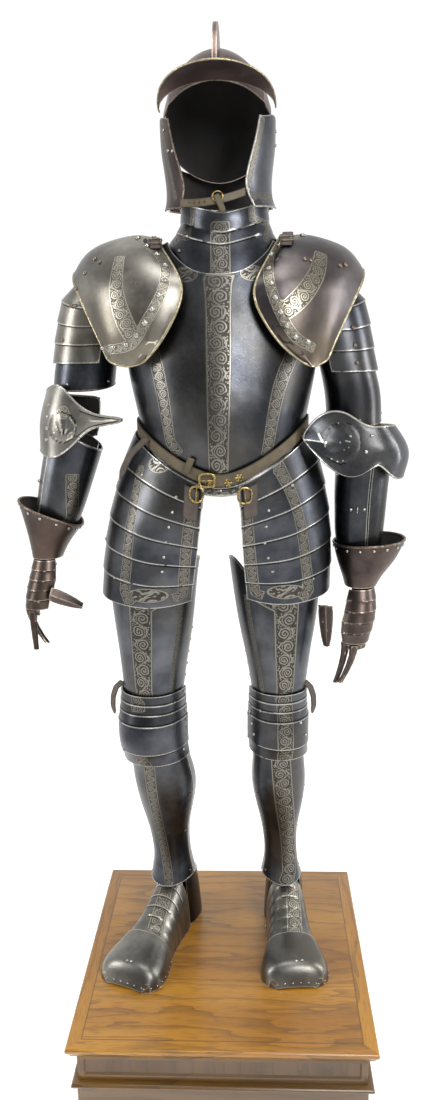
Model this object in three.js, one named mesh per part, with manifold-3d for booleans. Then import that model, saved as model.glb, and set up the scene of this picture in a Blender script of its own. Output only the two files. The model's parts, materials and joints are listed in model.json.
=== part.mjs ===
// Suit of plate armour standing on an oak plinth.
// Millimetres. +Z is up, the suit faces -Y and its right side is at -X.
// The origin is the centre of the plinth's underside.
import * as THREE from "three";
import { mergeVertices } from "three/addons/utils/BufferGeometryUtils.js";
import Module from "manifold-3d";

const solidTool = await Module();
solidTool.setup();

// ---- Driving dimensions -------------------------------------------------
const PLINTH_SIZE = 600; // square top board of the plinth
const PLINTH_HEIGHT = 150; // floor to the top of the board
const BOARD_THICK = 25; // moulded oak top board
const CARCASS_DEEP = 60; // framed carcass below the board
const SEAM = 0.3; // clearance left between neighbouring pieces
const STEEL = 1.6; // wall of the body plates
const HELMET_STEEL = 2; // wall of the helmet
const LAME_STEP = 2; // how far a lame's free edge stands over the next
const BELT_THICK = 3; // waist belt
const BELT_DEEP = 23; // its height
const STRAP_THICK = 2.4; // chin strap and tasset straps
const MID_X = 12; // middle plane of the torso
const BELT_SIDE = 1160; // height of the waist line at the hips, above the soles
const BELT_DROP = 96; // how far the peascod waist dips in front
const COMB_TALL = 46; // comb over the bowl of the helmet
const FOOT_LENGTH = 334; // sabaton, heel to toe
const TURN = Math.PI / 180;

// ---- Small helpers ------------------------------------------------------
const vec = (x, y, z) => new THREE.Vector3(x, y, z);
const mix = (a, b, t) => a + (b - a) * t;
const power = (v, p) => Math.sign(v) * Math.abs(v) ** p;

/** Smooth values at x from rows of [x, ...values], rows in rising x. */
function along(rows, x) {
  const last = rows.length - 1;
  if (x <= rows[0][0]) return rows[0].slice(1);
  if (x >= rows[last][0]) return rows[last].slice(1);
  let i = 0;
  while (x > rows[i + 1][0]) i += 1;
  const span = rows[i + 1][0] - rows[i][0];
  const t = (x - rows[i][0]) / span;
  const slope = (k, c) => {
    const lo = rows[Math.max(k - 1, 0)];
    const hi = rows[Math.min(k + 1, last)];
    return (hi[c] - lo[c]) / (hi[0] - lo[0]);
  };
  const out = [];
  for (let c = 1; c < rows[0].length; c += 1) {
    const a = rows[i][c];
    const b = rows[i + 1][c];
    const h = t * t * (3 - 2 * t);
    const k0 = t * (1 - t) ** 2 * span * slope(i, c);
    const k1 = t * t * (t - 1) * span * slope(i + 1, c);
    out.push(mix(a, b, h) + k0 + k1);
  }
  return out;
}

/** A point of a limb or body: rows are [z, cx, cy, rx, front, back]. */
function onForm(form, angle, z) {
  const [cx, cy, rx, front, back] = along(form.rows, z);
  const s = Math.sin(angle);
  const c = Math.cos(angle);
  const p = 2 / (form.square ?? 2.15);
  const x = rx * power(s, p);
  const ridge = form.ridge ? form.ridge(z) * Math.exp(-((x / 26) ** 2)) : 0;
  const y = c > 0 ? -front * power(c, p) - ridge : -back * power(c, p);
  const turn = form.turn ?? 0;
  return vec(
    cx + x * Math.cos(turn) - y * Math.sin(turn),
    cy + x * Math.sin(turn) + y * Math.cos(turn),
    PLINTH_HEIGHT + z,
  );
}

/** Evenly spread numbers from a to b. */
function spread(a, b, steps) {
  return Array.from({ length: steps + 1 }, (_, i) => mix(a, b, i / steps));
}

/** Rows of a laminated plate as [place 0..1, raise], free edges low or high. */
function lameRows(count, step, proudLow) {
  const rows = [];
  for (let i = 0; i < count; i += 1) {
    const end = i === count - 1 ? 1 : (i + 1) / count - 0.012;
    rows.push([i / count, proudLow ? step : 0]);
    rows.push([end, proudLow ? 0 : step]);
  }
  return rows;
}

/** Plain rows with no raise. */
function plainRows(steps) {
  return spread(0, 1, steps).map((v) => [v, 0]);
}

/** Outward direction of a grid of points at one of its corners. */
function outward(grid, r, c, closed) {
  const rows = grid.length;
  const cols = grid[0].length;
  const left = closed ? (c - 1 + cols) % cols : Math.max(c - 1, 0);
  const right = closed ? (c + 1) % cols : Math.min(c + 1, cols - 1);
  const low = Math.max(r - 1, 0);
  const high = Math.min(r + 1, rows - 1);
  const du = grid[r][right].clone().sub(grid[r][left]);
  const dv = grid[high][c].clone().sub(grid[low][c]);
  return du.cross(dv).normalize();
}

/** Geometry from a list of triangles given as points. */
function fromTriangles(list) {
  const geometry = new THREE.BufferGeometry();
  const flat = list.flatMap((p) => [p.x, p.y, p.z]);
  geometry.setAttribute("position", new THREE.Float32BufferAttribute(flat, 3));
  const joined = mergeVertices(geometry, 1e-4);
  joined.computeVertexNormals();
  return joined;
}

/** A wall between two grids of points, its edges closed. */
function wall(outer, inner, closed) {
  const list = [];
  const rows = outer.length - 1;
  const cols = outer[0].length;
  const quad = (a, b, c, d) => list.push(a, b, c, a, c, d);
  const spans = closed ? cols : cols - 1;
  for (let c = 0; c < spans; c += 1) {
    const d = (c + 1) % cols;
    for (let r = 0; r < rows; r += 1) {
      quad(outer[r][c], outer[r][d], outer[r + 1][d], outer[r + 1][c]);
      quad(inner[r][d], inner[r][c], inner[r + 1][c], inner[r + 1][d]);
    }
    quad(outer[0][d], outer[0][c], inner[0][c], inner[0][d]);
    quad(outer[rows][c], outer[rows][d], inner[rows][d], inner[rows][c]);
  }
  if (!closed) {
    const e = cols - 1;
    for (let r = 0; r < rows; r += 1) {
      quad(outer[r][0], outer[r + 1][0], inner[r + 1][0], inner[r][0]);
      quad(outer[r + 1][e], outer[r][e], inner[r][e], inner[r + 1][e]);
    }
  }
  return fromTriangles(list);
}

/** A sheet of steel or leather: its outer face goes through the points. */
function sheet(grid, thick, options = {}) {
  const { closed = false, raise = () => 0, floor = -1e9 } = options;
  const move = (r, c, by) => {
    const p = grid[r][c].clone();
    p.addScaledVector(outward(grid, r, c, closed), by);
    p.z = Math.max(p.z, floor);
    return p;
  };
  const outer = grid.map((row, r) => row.map((_, c) => move(r, c, raise(r, c))));
  const inner = grid.map((row, r) => row.map((_, c) => move(r, c, -thick)));
  return wall(outer, inner, closed);
}

/** A plate wrapped round a form between two edge heights. */
function wrap(form, spec) {
  const { from, to, cols, low, high, rows, thick = STEEL } = spec;
  const closed = Math.abs(to - from) >= 359.9;
  const angles = spread(from, to, cols).map((d) => d * TURN);
  if (closed) angles.pop();
  const grid = rows.map(([v]) => angles.map((a) => {
    const d = a / TURN;
    return onForm(form, a, mix(low(d), high(d), v));
  }));
  return sheet(grid, thick, { closed, raise: (r) => rows[r][1], floor: spec.floor });
}

/** A smooth plate through a small net of points, rows by columns. */
function netPlate(net, rowPlaces, cols, thick, raise) {
  const grid = rowPlaces.map((v) => spread(0, 1, cols).map((u) => {
    const line = net.map((row) => {
      const keyed = row.map((p, i) => [i / (row.length - 1), ...p]);
      return along(keyed, u);
    });
    const keyed = line.map((p, i) => [i / (line.length - 1), ...p]);
    const [x, y, z] = along(keyed, v);
    return vec(x, y, PLINTH_HEIGHT + z);
  }));
  return sheet(grid, thick, { raise });
}

/** A solid stacked from square rings of [z, half size]. */
function squareStack(rings) {
  const loops = rings.map(([z, h]) => [
    vec(-h, -h, z), vec(h, -h, z), vec(h, h, z), vec(-h, h, z),
  ]);
  const list = [];
  const quad = (a, b, c, d) => list.push(a, b, c, a, c, d);
  for (let r = 0; r < loops.length - 1; r += 1) {
    for (let c = 0; c < 4; c += 1) {
      const d = (c + 1) % 4;
      quad(loops[r][c], loops[r][d], loops[r + 1][d], loops[r + 1][c]);
    }
  }
  const [a, b, c, d] = loops[0];
  quad(d, c, b, a);
  quad(...loops[loops.length - 1]);
  return fromTriangles(list);
}

/** Joins overlapping solids into one body. */
function joined(parts) {
  const toSolid = (geometry) => new solidTool.Manifold(new solidTool.Mesh({
    numProp: 3,
    vertProperties: new Float32Array(geometry.attributes.position.array),
    triVerts: new Uint32Array(geometry.index.array),
  }));
  const sum = solidTool.Manifold.union(parts.map(toSolid)).getMesh();
  const list = [];
  for (const i of sum.triVerts) {
    const k = i * sum.numProp;
    list.push(vec(...sum.vertProperties.slice(k, k + 3)));
  }
  return fromTriangles(list);
}

// ---- Materials ----------------------------------------------------------
const finish = (color, roughness, metalness) =>
  () => new THREE.MeshStandardMaterial({ color, roughness, metalness });
const bluedSteel = finish(0x3c4048, 0.34, 1);
const russetSteel = finish(0x3d2b26, 0.42, 1);
const brownLeather = finish(0x6e5b3c, 0.7, 0);
const goldenOak = finish(0xb07a3e, 0.45, 0);
const brass = finish(0xa5813f, 0.35, 1);

// ---- Forms of the wearer's hollow: [z, cx, cy, rx, front, back] ----------
const breastForm = {
  square: 2.3,
  ridge: (z) => along([[1050, 10], [1150, 9], [1300, 5], [1440, 2]], z)[0],
  rows: [
    [1050, MID_X, 40, 152, 158, 72], [1110, MID_X, 40, 153, 175, 76],
    [1163, MID_X, 40, 161, 180, 80], [1213, MID_X, 40, 171, 179, 86],
    [1267, MID_X, 40, 181, 173, 93], [1315, MID_X, 40, 182, 163, 97],
    [1370, MID_X, 40, 174, 150, 97], [1433, MID_X + 2, 40, 158, 134, 90],
    [1492, MID_X + 3, 40, 128, 98, 72],
  ],
};
const gorgetForm = {
  rows: [
    [1412, 15, 30, 132, 124, 84], [1440, 16, 30, 124, 118, 80],
    [1470, 17, 28, 115, 106, 78], [1490, 18, 26, 105, 96, 73],
    [1515, 22, 24, 85, 88, 68], [1545, 22, 22, 81, 84, 70],
    [1568, 22, 22, 82, 84, 72],
  ],
};

/** Height of the waist line round the body, angle in degrees from the front. */
function waistLine(d) {
  const s = Math.abs(Math.sin(d * TURN));
  return Math.abs(d) > 90 ? BELT_SIDE : BELT_SIDE - BELT_DROP * (1 - s ** 1.25);
}

/** A point of the hips, down from the waist line and out from it. */
function onHips(d, down, out) {
  const s = Math.sin(d * TURN);
  const c = Math.cos(d * TURN);
  const rx = 159 + 0.3 * down + out;
  const ry = (c > 0 ? 168 + 0.14 * down : 80 + 0.4 * down) + out;
  const x = rx * power(s, 0.87);
  const y = ry * power(c, 0.87);
  return vec(MID_X + x, 40 - y, PLINTH_HEIGHT + waistLine(d) - down);
}

// ---- Helmet: open burgonet ----------------------------------------------
const BOWL = { x: 12, y: 29, z: 1690, rx: 100, ry: 123, rz: 131 };
const PIVOT = { y: 10, z: 1716 }; // axis of the peak, through the temples

/** A point of the bowl: side angle, then angle from brow over to nape. */
function onBowl(side, over) {
  const flat = Math.cos(side);
  return vec(
    BOWL.x + BOWL.rx * Math.sin(side),
    BOWL.y - BOWL.ry * flat * Math.cos(over),
    PLINTH_HEIGHT + BOWL.z + BOWL.rz * flat * Math.sin(over),
  );
}

/** The bowl with its tall comb raised along the middle. */
function skull() {
  const half = [2.1, 3.4, 12, 26, 42, 58, 76];
  const sides = [...half.map((d) => -d).reverse(), ...half];
  const overs = spread(24, 216, 13);
  const grid = overs.map((o) => sides.map((s) => onBowl(s * TURN, o * TURN)));
  const comb = (r, c) => {
    const near = Math.abs(sides[c]) < 3 ? 1 : 0;
    const run = Math.sin(Math.PI * Math.min((r + 0.35) / 12.6, 1)) ** 0.55;
    return near * COMB_TALL * run;
  };
  return sheet(grid, HELMET_STEEL, { raise: comb });
}

/** The forward peak between its brow edge and its free edge. */
function peak() {
  const turns = spread(-87, 87, 16).map((d) => d * TURN);
  const grid = [0, 0.5, 1].map((w) => turns.map((t) => {
    const c = Math.cos(t);
    const reach = mix(106, 152, w);
    const rise = mix(24, 46, w) + 3 * Math.sin(Math.PI * w);
    const across = mix(104.6, 106, w);
    return vec(
      12 + across * Math.sin(t),
      PIVOT.y - reach * c ** mix(1, 0.8, w),
      PLINTH_HEIGHT + PIVOT.z + rise * c ** mix(1, 0.75, w) - 2 * w,
    );
  }));
  return sheet(grid.reverse(), HELMET_STEEL);
}

// Rows are [z, right cx, left cx, cy, rx, front, back].
const CHEEK = [
  [1538, 12, 19, 32, 105, 128, 100], [1552, 12, 17, 32, 100, 126, 97],
  [1572, 12, 14, 32, 96, 124, 95], [1610, 12, 12, 32, 99, 122, 100],
  [1660, 12, 12, 32, 106, 116, 108], [1706, 12, 12, 32, 106, 108, 112],
];

/** A cheek piece; side is -1 on the suit's right and 1 on its left. */
function cheekPiece(side) {
  const lip = side < 0 ? [38, 34, 43, 53] : [34, 28, 36, 45];
  const front = (v) => along([0, 0.25, 0.55, 1].map((k, i) => [k, lip[i]]), v)[0];
  const back = (v) => along([[0, 88], [0.4, 98], [1, 108]], v)[0];
  const heights = [0, 0.1, 0.24, 0.45, 0.7, 1];
  const form = {
    rows: CHEEK.map(([z, right, left, ...rest]) => [z, side < 0 ? right : left, ...rest]),
  };
  const grid = heights.map((v) => {
    const line = spread(front(v), back(v), 8).map((d) => {
      const bottom = along([[30, 1541], [60, 1546], [90, 1552]], d)[0];
      const top = along([[50, 1694], [75, 1704], [108, 1690]], d)[0];
      return onForm(form, side * d * TURN, mix(bottom, top, v));
    });
    return side > 0 ? line : line.reverse();
  });
  return sheet(grid, HELMET_STEEL);
}

const napeForm = {
  rows: [
    [1560, 12, 30, 118, 120, 140], [1590, 12, 30, 103, 120, 124],
    [1655, 12, 30, 103, 120, 126],
  ],
};

/** The nape guard under the back of the bowl. */
function napeGuard() {
  return wrap(napeForm, {
    from: 122, to: 238, cols: 10, rows: plainRows(3), thick: HELMET_STEEL,
    low: () => 1562, high: (d) => 1640 - 12 * Math.cos((d - 180) * 1.5 * TURN),
  });
}

/** A strap: a ribbon whose wide side stands along the given up direction. */
function ribbon(points, width, thick, up = vec(0, 0, 1)) {
  const grid = [-0.5, 0.5].map((h) => points.map(([x, y, z]) =>
    vec(x, y, PLINTH_HEIGHT + z).addScaledVector(up, h * width)));
  return sheet(grid, thick);
}

/** The chin strap hanging between the cheek pieces. */
function chinStrap() {
  const line = spread(-1, 1, 8).map((s) => [
    5 + 57 * s, -97 + 15 * s * s, 1549 + 8 * s * s + 8 * s,
  ]);
  return ribbon(line, 13, STRAP_THICK);
}

// ---- Gorget and cuirass ---------------------------------------------------
/** The gorget's front or back: collar lames over a spreading plate. */
function gorgetHalf(isFront) {
  const rows = [[0, 0], [0.3, 0], [0.52, 0], [0.535, 1.5], [0.7, 0], [0.715, 1.5],
    [0.9, 0], [1, 2.4]];
  return wrap(gorgetForm, {
    from: isFront ? -88.5 : 91.5, to: isFront ? 88.5 : 268.5, cols: 12, rows,
    low: (d) => (isFront ? 1414 + 40 * Math.abs(Math.sin(d * TURN)) : 1454),
    high: (d) => (isFront ? 1532 + 24 * Math.abs(Math.sin(d * TURN)) : 1558),
  });
}

/** Upper edge of the breastplate: neck opening, shoulder and armhole. */
function breastTop(d) {
  const a = Math.abs(d);
  return along([[0, 1428], [12, 1433], [24, 1452], [37, 1474], [48, 1490], [56, 1462],
    [68, 1352], [80, 1286], [89, 1272]], a)[0];
}

function breastplate() {
  return wrap(breastForm, {
    from: -88.6, to: 88.6, cols: 24, rows: plainRows(7),
    low: (d) => waistLine(d) + 3, high: breastTop,
  });
}

function backplate() {
  const top = (d) => along([[0, 1460], [26, 1460], [40, 1444], [54, 1410], [66, 1362],
    [80, 1288], [89, 1272]], Math.abs(d - 180))[0];
  return wrap(breastForm, {
    from: 91.4, to: 268.6, cols: 16, rows: plainRows(5),
    low: () => BELT_SIDE + 3, high: top,
  });
}

/** A skirt plate below the waist, between two angles. */
function skirt(from, to, cols, downTo) {
  const rows = lameRows(2, 1.5, true);
  const grid = rows.map(([v]) => spread(from, to, cols).map((d) =>
    onHips(d, mix(downTo(d), 3, v), 0)));
  return sheet(grid, STEEL, { raise: (r) => rows[r][1] });
}

/** The fauld, arched in the middle; the culet behind. */
const fauld = () => skirt(-88.6, 88.6, 18, (d) => 34 - 9 * Math.exp(-((d / 9) ** 2)));
const culet = () => skirt(91.4, 268.6, 12, () => 62);

/** The waist belt, one closed ring lying on the waist line. */
function belt() {
  const angles = spread(0, 360, 32);
  angles.pop();
  const grid = [-0.5, 0.5].map((h) => angles.map((d) => {
    const turned = d > 180 ? d - 360 : d;
    return onHips(turned, -h * BELT_DEEP, 9.6 + 0.3 * h * BELT_DEEP);
  }));
  return sheet(grid, BELT_THICK, { closed: true });
}

/** The belt's rectangular brass buckle frame. */
function beltBuckle() {
  const centre = onHips(-6, 0, 13);
  const size = [30, 3, 27];
  const bar = (x, z, w, h) => {
    const box = new THREE.BoxGeometry(w, size[1], h);
    box.translate(centre.x + x, centre.y - 1.2, centre.z + z);
    return mergeVertices(box.deleteAttribute("normal").deleteAttribute("uv"), 1e-4);
  };
  const side = size[0] / 2 - 2;
  const edge = size[2] / 2 - 2;
  return joined([
    bar(-side, 0, 4, size[2]), bar(side, 0, 4, size[2]),
    bar(0, -edge, size[0], 4), bar(0, edge, size[0], 4),
  ]);
}

/** A strap hanging from the belt down the face of a tasset. */
function tassetStrap(side) {
  const across = 0.945;
  const half = 0.04;
  const grid = spread(0.72, 0.962, 5).map((up) => {
    const ends = [across - half, across + half].map((u) => tassetPoint(side, u, up));
    const below = tassetPoint(side, across, up - 0.02);
    const side1 = ends[1].clone().sub(ends[0]);
    const out = ends[0].clone().sub(below).cross(side1).normalize();
    if (out.y > 0) out.negate();
    const pair = ends.map((p) => p.addScaledVector(out, 6.2));
    return side < 0 ? pair : pair.reverse();
  });
  return sheet(grid, STRAP_THICK);
}

// ---- Tassets --------------------------------------------------------------
const TASSET = {
  right: { top: [-116, -8], cx: -131, rx: 106, ends: [-116, 43], low: 812 },
  left: { top: [9, 116], cx: 124, rx: 98, ends: [-38, 116], low: 818 },
};

/** Tasset surface: across 0..1 from its outer to its inner edge, up 0..1. */
function tassetPoint(side, across, up) {
  const t = side < 0 ? TASSET.right : TASSET.left;
  const u = side < 0 ? across : 1 - across;
  const d = mix(t.top[0], t.top[1], u);
  const top = onHips(d, 15, 9.5);
  const a = mix(t.ends[0], t.ends[1], u) * TURN;
  const front = Math.cos(a) > 0 ? 116 : 70;
  const foot = vec(
    t.cx + t.rx * power(Math.sin(a), 0.8),
    34 - front * power(Math.cos(a), 0.8),
    PLINTH_HEIGHT + t.low + 14 * Math.abs(Math.sin(a)),
  );
  const lean = (a + 2 * d * TURN) / 3;
  const push = vec(Math.sin(lean), -Math.cos(lean), 0).multiplyScalar(34);
  const knee = top.clone().add(foot).multiplyScalar(0.5).add(push);
  const v = 1 - up;
  return vec(0, 0, 0)
    .addScaledVector(top, (1 - v) ** 2)
    .addScaledVector(knee, 2 * v * (1 - v))
    .addScaledVector(foot, v * v);
}

/** One tasset: a top plate and its lames, the free edges at the bottom. */
function tasset(side, from, to, lames) {
  const rows = lameRows(lames, LAME_STEP, true);
  const grid = rows.map(([v]) => {
    const line = spread(0, 1, 11).map((u) => tassetPoint(side, u, mix(from, to, v)));
    return side < 0 ? line : line.reverse();
  });
  return sheet(grid, STEEL, { raise: (r) => rows[r][1] });
}

// ---- Pauldrons ------------------------------------------------------------
const PAULDRON = [
  [[-125, -106, 1278], [-86, -128, 1318], [-50, -120, 1389], [-62, -98, 1436],
    [-112, 0, 1508], [-84, 120, 1466], [-70, 148, 1390], [-95, 150, 1300]],
  [[-150, -110, 1272], [-122, -136, 1325], [-104, -130, 1400], [-112, -94, 1460],
    [-150, 6, 1514], [-124, 122, 1476], [-106, 150, 1398], [-122, 152, 1300]],
  [[-172, -100, 1276], [-168, -120, 1335], [-168, -110, 1408], [-180, -66, 1464],
    [-206, 18, 1500], [-180, 108, 1468], [-170, 146, 1396], [-166, 150, 1300]],
  [[-183, -95, 1280], [-196, -102, 1338], [-210, -86, 1402], [-228, -40, 1460],
    [-240, 24, 1482], [-228, 98, 1460], [-214, 138, 1392], [-190, 148, 1300]],
  [[-190, -84, 1284], [-216, -74, 1340], [-242, -50, 1392], [-260, -16, 1426],
    [-264, 30, 1448], [-260, 88, 1428], [-241, 124, 1384], [-206, 142, 1300]],
];

/** The broad shoulder plate over the chest, shoulder and back. */
function pauldronPlate(side) {
  const net = side < 0 ? PAULDRON : PAULDRON.map((row, r) => row.map(([x, y, z], c) => {
    const inset = r < 2 && c < 4 ? [24, 14, 9, 9][c] : 0;
    return [16 - x + inset * (r === 0 ? 1 : 0.6), y - (r < 2 && c < 4 ? 1.5 : 0), z - 6];
  }).reverse());
  const raise = (r, c) => {
    const rim = c === 0 || c === 16;
    return r === 0 || rim ? 1.6 : 0;
  };
  return netPlate(net, [0, 0.05, 0.2, 0.4, 0.6, 0.8, 1], 16, STEEL, raise);
}

const ARM = {
  right: {
    lames: [[1278, -250, 40, 66, 72, 72], [1298, -247, 40, 67, 73, 73],
      [1351, -236, 40, 68, 76, 76], [1396, -224, 38, 68, 74, 74],
      [1416, -216, 36, 59, 66, 66], [1434, -206, 34, 46, 52, 52]],
    upper: [[1226, -260, 40, 61, 60, 60], [1271, -254, 40, 61, 60, 60],
      [1330, -242, 40, 56, 60, 60]],
    couter: [[1100, -284, 40, 69, 74, 76], [1135, -283, 42, 70, 77, 86],
      [1165, -280, 42, 71, 77, 88], [1200, -274, 41, 69, 74, 80],
      [1240, -262, 40, 66, 71, 70]],
    fore: [[948, -332, 34, 42, 44, 44], [965, -328, 35, 45, 47, 47],
      [994, -319, 36, 50, 50, 50], [1051, -304, 38, 55, 56, 58],
      [1107, -288, 40, 59, 62, 64], [1140, -281, 40, 58, 60, 62]],
    cuff: [[893, -350, 30, 31, 36, 34], [910, -347, 30, 36, 40, 39],
      [936, -340, 31, 46, 50, 49], [965, -331, 32, 62, 62, 61],
      [990, -328, 33, 72, 70, 69], [1016, -326, 34, 78, 76, 75]],
    hand: [[792, -370, 22, 29, 44, 34], [817, -365, 24, 32, 46, 36],
      [847, -356, 26, 34, 44, 36], [877, -352, 28, 30, 38, 33],
      [900, -350, 30, 27, 32, 30]],
    rim: { mid: 984, tilt: 28 },
    wing: {
      tip: 50, out: 66,
      upper: [[-205, 0.76], [-110, 0.84], [-60, 0.94], [-34, 1], [-22, 0.97], [-4, 0.84],
        [12, 0.71], [26, 0.62], [38, 0.565], [50, 0.54]],
      lower: [[-205, 0.2], [-110, 0.1], [-60, 0.07], [-38, 0.01], [-22, 0], [-8, 0.06],
        [12, 0.23], [26, 0.4], [38, 0.46], [50, 0.5]],
    },
    fingers: [[66, 80, 4], [26, 72, 34]],
    seam: -45,
  },
  left: {
    lames: [[1254, 250, 40, 62, 70, 72], [1298, 240, 40, 64, 72, 73],
      [1351, 228, 40, 66, 75, 76], [1390, 216, 38, 67, 73, 74],
      [1410, 208, 36, 58, 65, 66], [1428, 198, 34, 45, 51, 52]],
    upper: [[1150, 268, 40, 54, 58, 58], [1209, 267, 40, 55, 58, 58],
      [1236, 262, 40, 55, 59, 59], [1275, 249, 40, 53, 59, 59],
      [1330, 238, 40, 48, 58, 58]],
    couter: [[1042, 297, 36, 66, 74, 74], [1071, 302, 38, 73, 77, 84],
      [1099, 304, 40, 76, 78, 88], [1127, 296, 41, 70, 76, 82],
      [1154, 280, 41, 65, 73, 74], [1185, 270, 40, 63, 70, 70]],
    fore: [[898, 281, 24, 43, 46, 46], [930, 279, 26, 48, 50, 50],
      [959, 283, 28, 50, 52, 52], [987, 282, 30, 52, 54, 54],
      [1016, 283, 32, 53, 56, 56], [1044, 285, 34, 54, 58, 60],
      [1085, 290, 36, 54, 60, 62]],
    cuff: [[832, 284, 18, 32, 38, 36], [850, 286, 19, 38, 42, 41],
      [872, 292, 20, 53, 53, 52], [901, 298, 22, 67, 66, 65],
      [926, 300, 24, 72, 72, 71]],
    hand: [[722, 270, 8, 31, 46, 36], [753, 272, 10, 39, 48, 38],
      [783, 278, 12, 38, 46, 38], [813, 281, 15, 34, 40, 35],
      [838, 283, 18, 28, 33, 32]],
    rim: { mid: 922, tilt: -4 },
    wing: {
      tip: 50, out: 98,
      upper: [[-205, 0.7], [-110, 0.72], [-60, 0.75], [-12, 0.76], [-2, 0.77], [8, 0.86],
        [20, 0.97], [30, 1], [40, 0.93], [50, 0.68]],
      lower: [[-205, 0.2], [-110, 0.1], [-60, 0.05], [-42, 0.05], [-16, 0.18], [-3, 0.28],
        [8, 0.2], [20, 0.12], [30, 0.13], [40, 0.26], [50, 0.6]],
    },
    fingers: [[92, 76, 28], [136, 80, 20]],
    seam: 10,
  },
};
const armOf = (side) => (side < 0 ? ARM.right : ARM.left);

/** Angle span on the outer side of a limb, from its inner front to its back. */
function outerSpan(side, inner, back) {
  return side < 0 ? [-back, inner] : [-inner, back];
}

/** The shoulder lames round the outside of the upper arm. */
function armLames(side) {
  const rows = armOf(side).lames;
  const [from, to] = outerSpan(side, 28, 218);
  const low = rows[0][0];
  const high = rows[rows.length - 1][0];
  return wrap({ rows }, {
    from, to, cols: 14, rows: lameRows(4, LAME_STEP, true),
    low: () => low, high: (d) => high - 24 * Math.cos(d * TURN) ** 2,
  });
}

/** The closed upper cannon. */
function upperCannon(side) {
  const rows = armOf(side).upper;
  const low = rows[0][0];
  return wrap({ rows }, {
    from: 0, to: 360, cols: 16, rows: plainRows(3),
    low: (d) => low + 10 - 10 * Math.cos(d * TURN), high: () => 1322,
  });
}

/** The couter over the elbow with its leaf-shaped wing across the front. */
function couter(side) {
  const { couter: rows, wing } = armOf(side);
  const low = rows[0][0];
  const tall = rows[rows.length - 1][0] - low;
  const turns = [-205, -180, -155, -130, -108, -86, -64, -42, -30, -18, -4, 6, 16, 26, 34, 42,
    wing.tip];
  const swell = (d) => along([[-20, 0], [8, 4], [28, wing.out * 0.32],
    [wing.tip, wing.out]], d)[0];
  const upper = (d) => low + tall * along(wing.upper, d)[0];
  const lower = (d) => low + tall * along(wing.lower, d)[0];
  const places = [[0, 1], [0.12, 0], [0.5, 3], [0.88, 0], [1, 1]];
  const order = side < 0 ? turns : [...turns].reverse();
  const grid = places.map(([v]) => order.map((d) => {
    const a = (side < 0 ? d : -d) * TURN;
    const p = onForm({ rows }, a, mix(lower(d), upper(d), v));
    return p.add(vec(Math.sin(a), -Math.cos(a), 0).multiplyScalar(swell(d)));
  }));
  return sheet(grid, STEEL, { raise: (r) => places[r][1] });
}

/** Half of the lower cannon; the halves meet at the arm's own seam angle. */
function lowerCannon(side, outer) {
  const { fore: rows, seam } = armOf(side);
  const low = rows[0][0];
  const high = rows[rows.length - 1][0];
  const start = seam + (outer === side < 0 ? -178.6 : 1.4);
  const inner = (d) => Math.max(0, Math.sin(-side * d * TURN));
  return wrap({ rows }, {
    from: start, to: start + 177.2, cols: 8, rows: plainRows(4),
    low: () => low, high: (d) => high - 34 * inner(d),
  });
}

/** The flared gauntlet cuff. */
function gauntletCuff(side) {
  const arm = armOf(side);
  const { mid, tilt } = arm.rim;
  return wrap({ rows: arm.cuff }, {
    from: 0, to: 360, cols: 18, rows: [[0, 0], [0.25, 0], [0.55, 0], [0.94, 0], [1, 1.2]],
    low: () => arm.cuff[0][0], high: (d) => mid - tilt * Math.sin(d * TURN),
  });
}

/** The metacarpal lames and knuckle plate over the back of the hand. */
function gauntletHand(side) {
  const rows = armOf(side).hand;
  const [from, to] = outerSpan(side, 48, 196);
  return wrap({ rows }, {
    from, to, cols: 10, rows: lameRows(5, 1.4, true),
    low: () => rows[0][0], high: () => rows[rows.length - 1][0] - 10,
  });
}

/** Two scaled fingers hanging from one knuckle strip. */
function gauntletFingers(side) {
  const [z, cx, cy, rx, front] = armOf(side).hand[0];
  const finger = (turn, long, lean) => {
    const rows = [0, 0.25, 0.5, 0.75, 1].map((v) => [
      z - 4 - long * v,
      cx + side * (rx - 7) * Math.cos(turn * TURN) - side * lean * v ** 1.6,
      cy - (front - 9) * Math.sin(turn * TURN) - 6 * v,
      8.5 - 3.5 * v, 8.5 - 3 * v, 8.5 - 3 * v,
    ]).reverse();
    return wrap({ rows }, {
      from: 0, to: 360, cols: 8, rows: lameRows(4, 0.8, true),
      low: () => rows[0][0], high: () => z - 4, thick: 1.4,
    });
  };
  const knuckles = wrap({ rows: [[z - 14, cx, cy, rx - 4, front - 6, 24],
    [z - 3, cx, cy, rx - 4, front - 6, 24]] }, {
    from: side < 0 ? -100 : -70, to: side < 0 ? 14 : 60, cols: 8, rows: plainRows(1),
    low: () => z - 13, high: () => z - 4, thick: 6,
  });
  return joined([...armOf(side).fingers.map((f) => finger(...f)), knuckles]);
}

/** The thumb's defence, a pointed trough beside the palm. */
function gauntletThumb(side) {
  const [z, cx, cy] = armOf(side).hand[0];
  const root = side < 0 ? vec(cx + 32, cy - 44, z + 34) : vec(cx - 58, cy - 26, z + 76);
  const tip = side < 0 ? vec(cx + 92, cy - 22, z + 2) : vec(cx - 56, cy - 34, z - 6);
  const across = side < 0 ? vec(0.25, 0, 1) : vec(-1, 0.3, 0);
  const grid = spread(0, 1, 4).map((v) => [-1, 0, 1].map((w) => {
    const wide = 14 * (1 - 0.55 * v * v);
    const p = root.clone().lerp(tip, v).addScaledVector(across, w * wide);
    return vec(p.x, p.y - 7 * (1 - w * w), p.z + PLINTH_HEIGHT);
  }));
  return sheet(side < 0 ? grid.map((row) => row.reverse()) : grid, STEEL);
}

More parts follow.
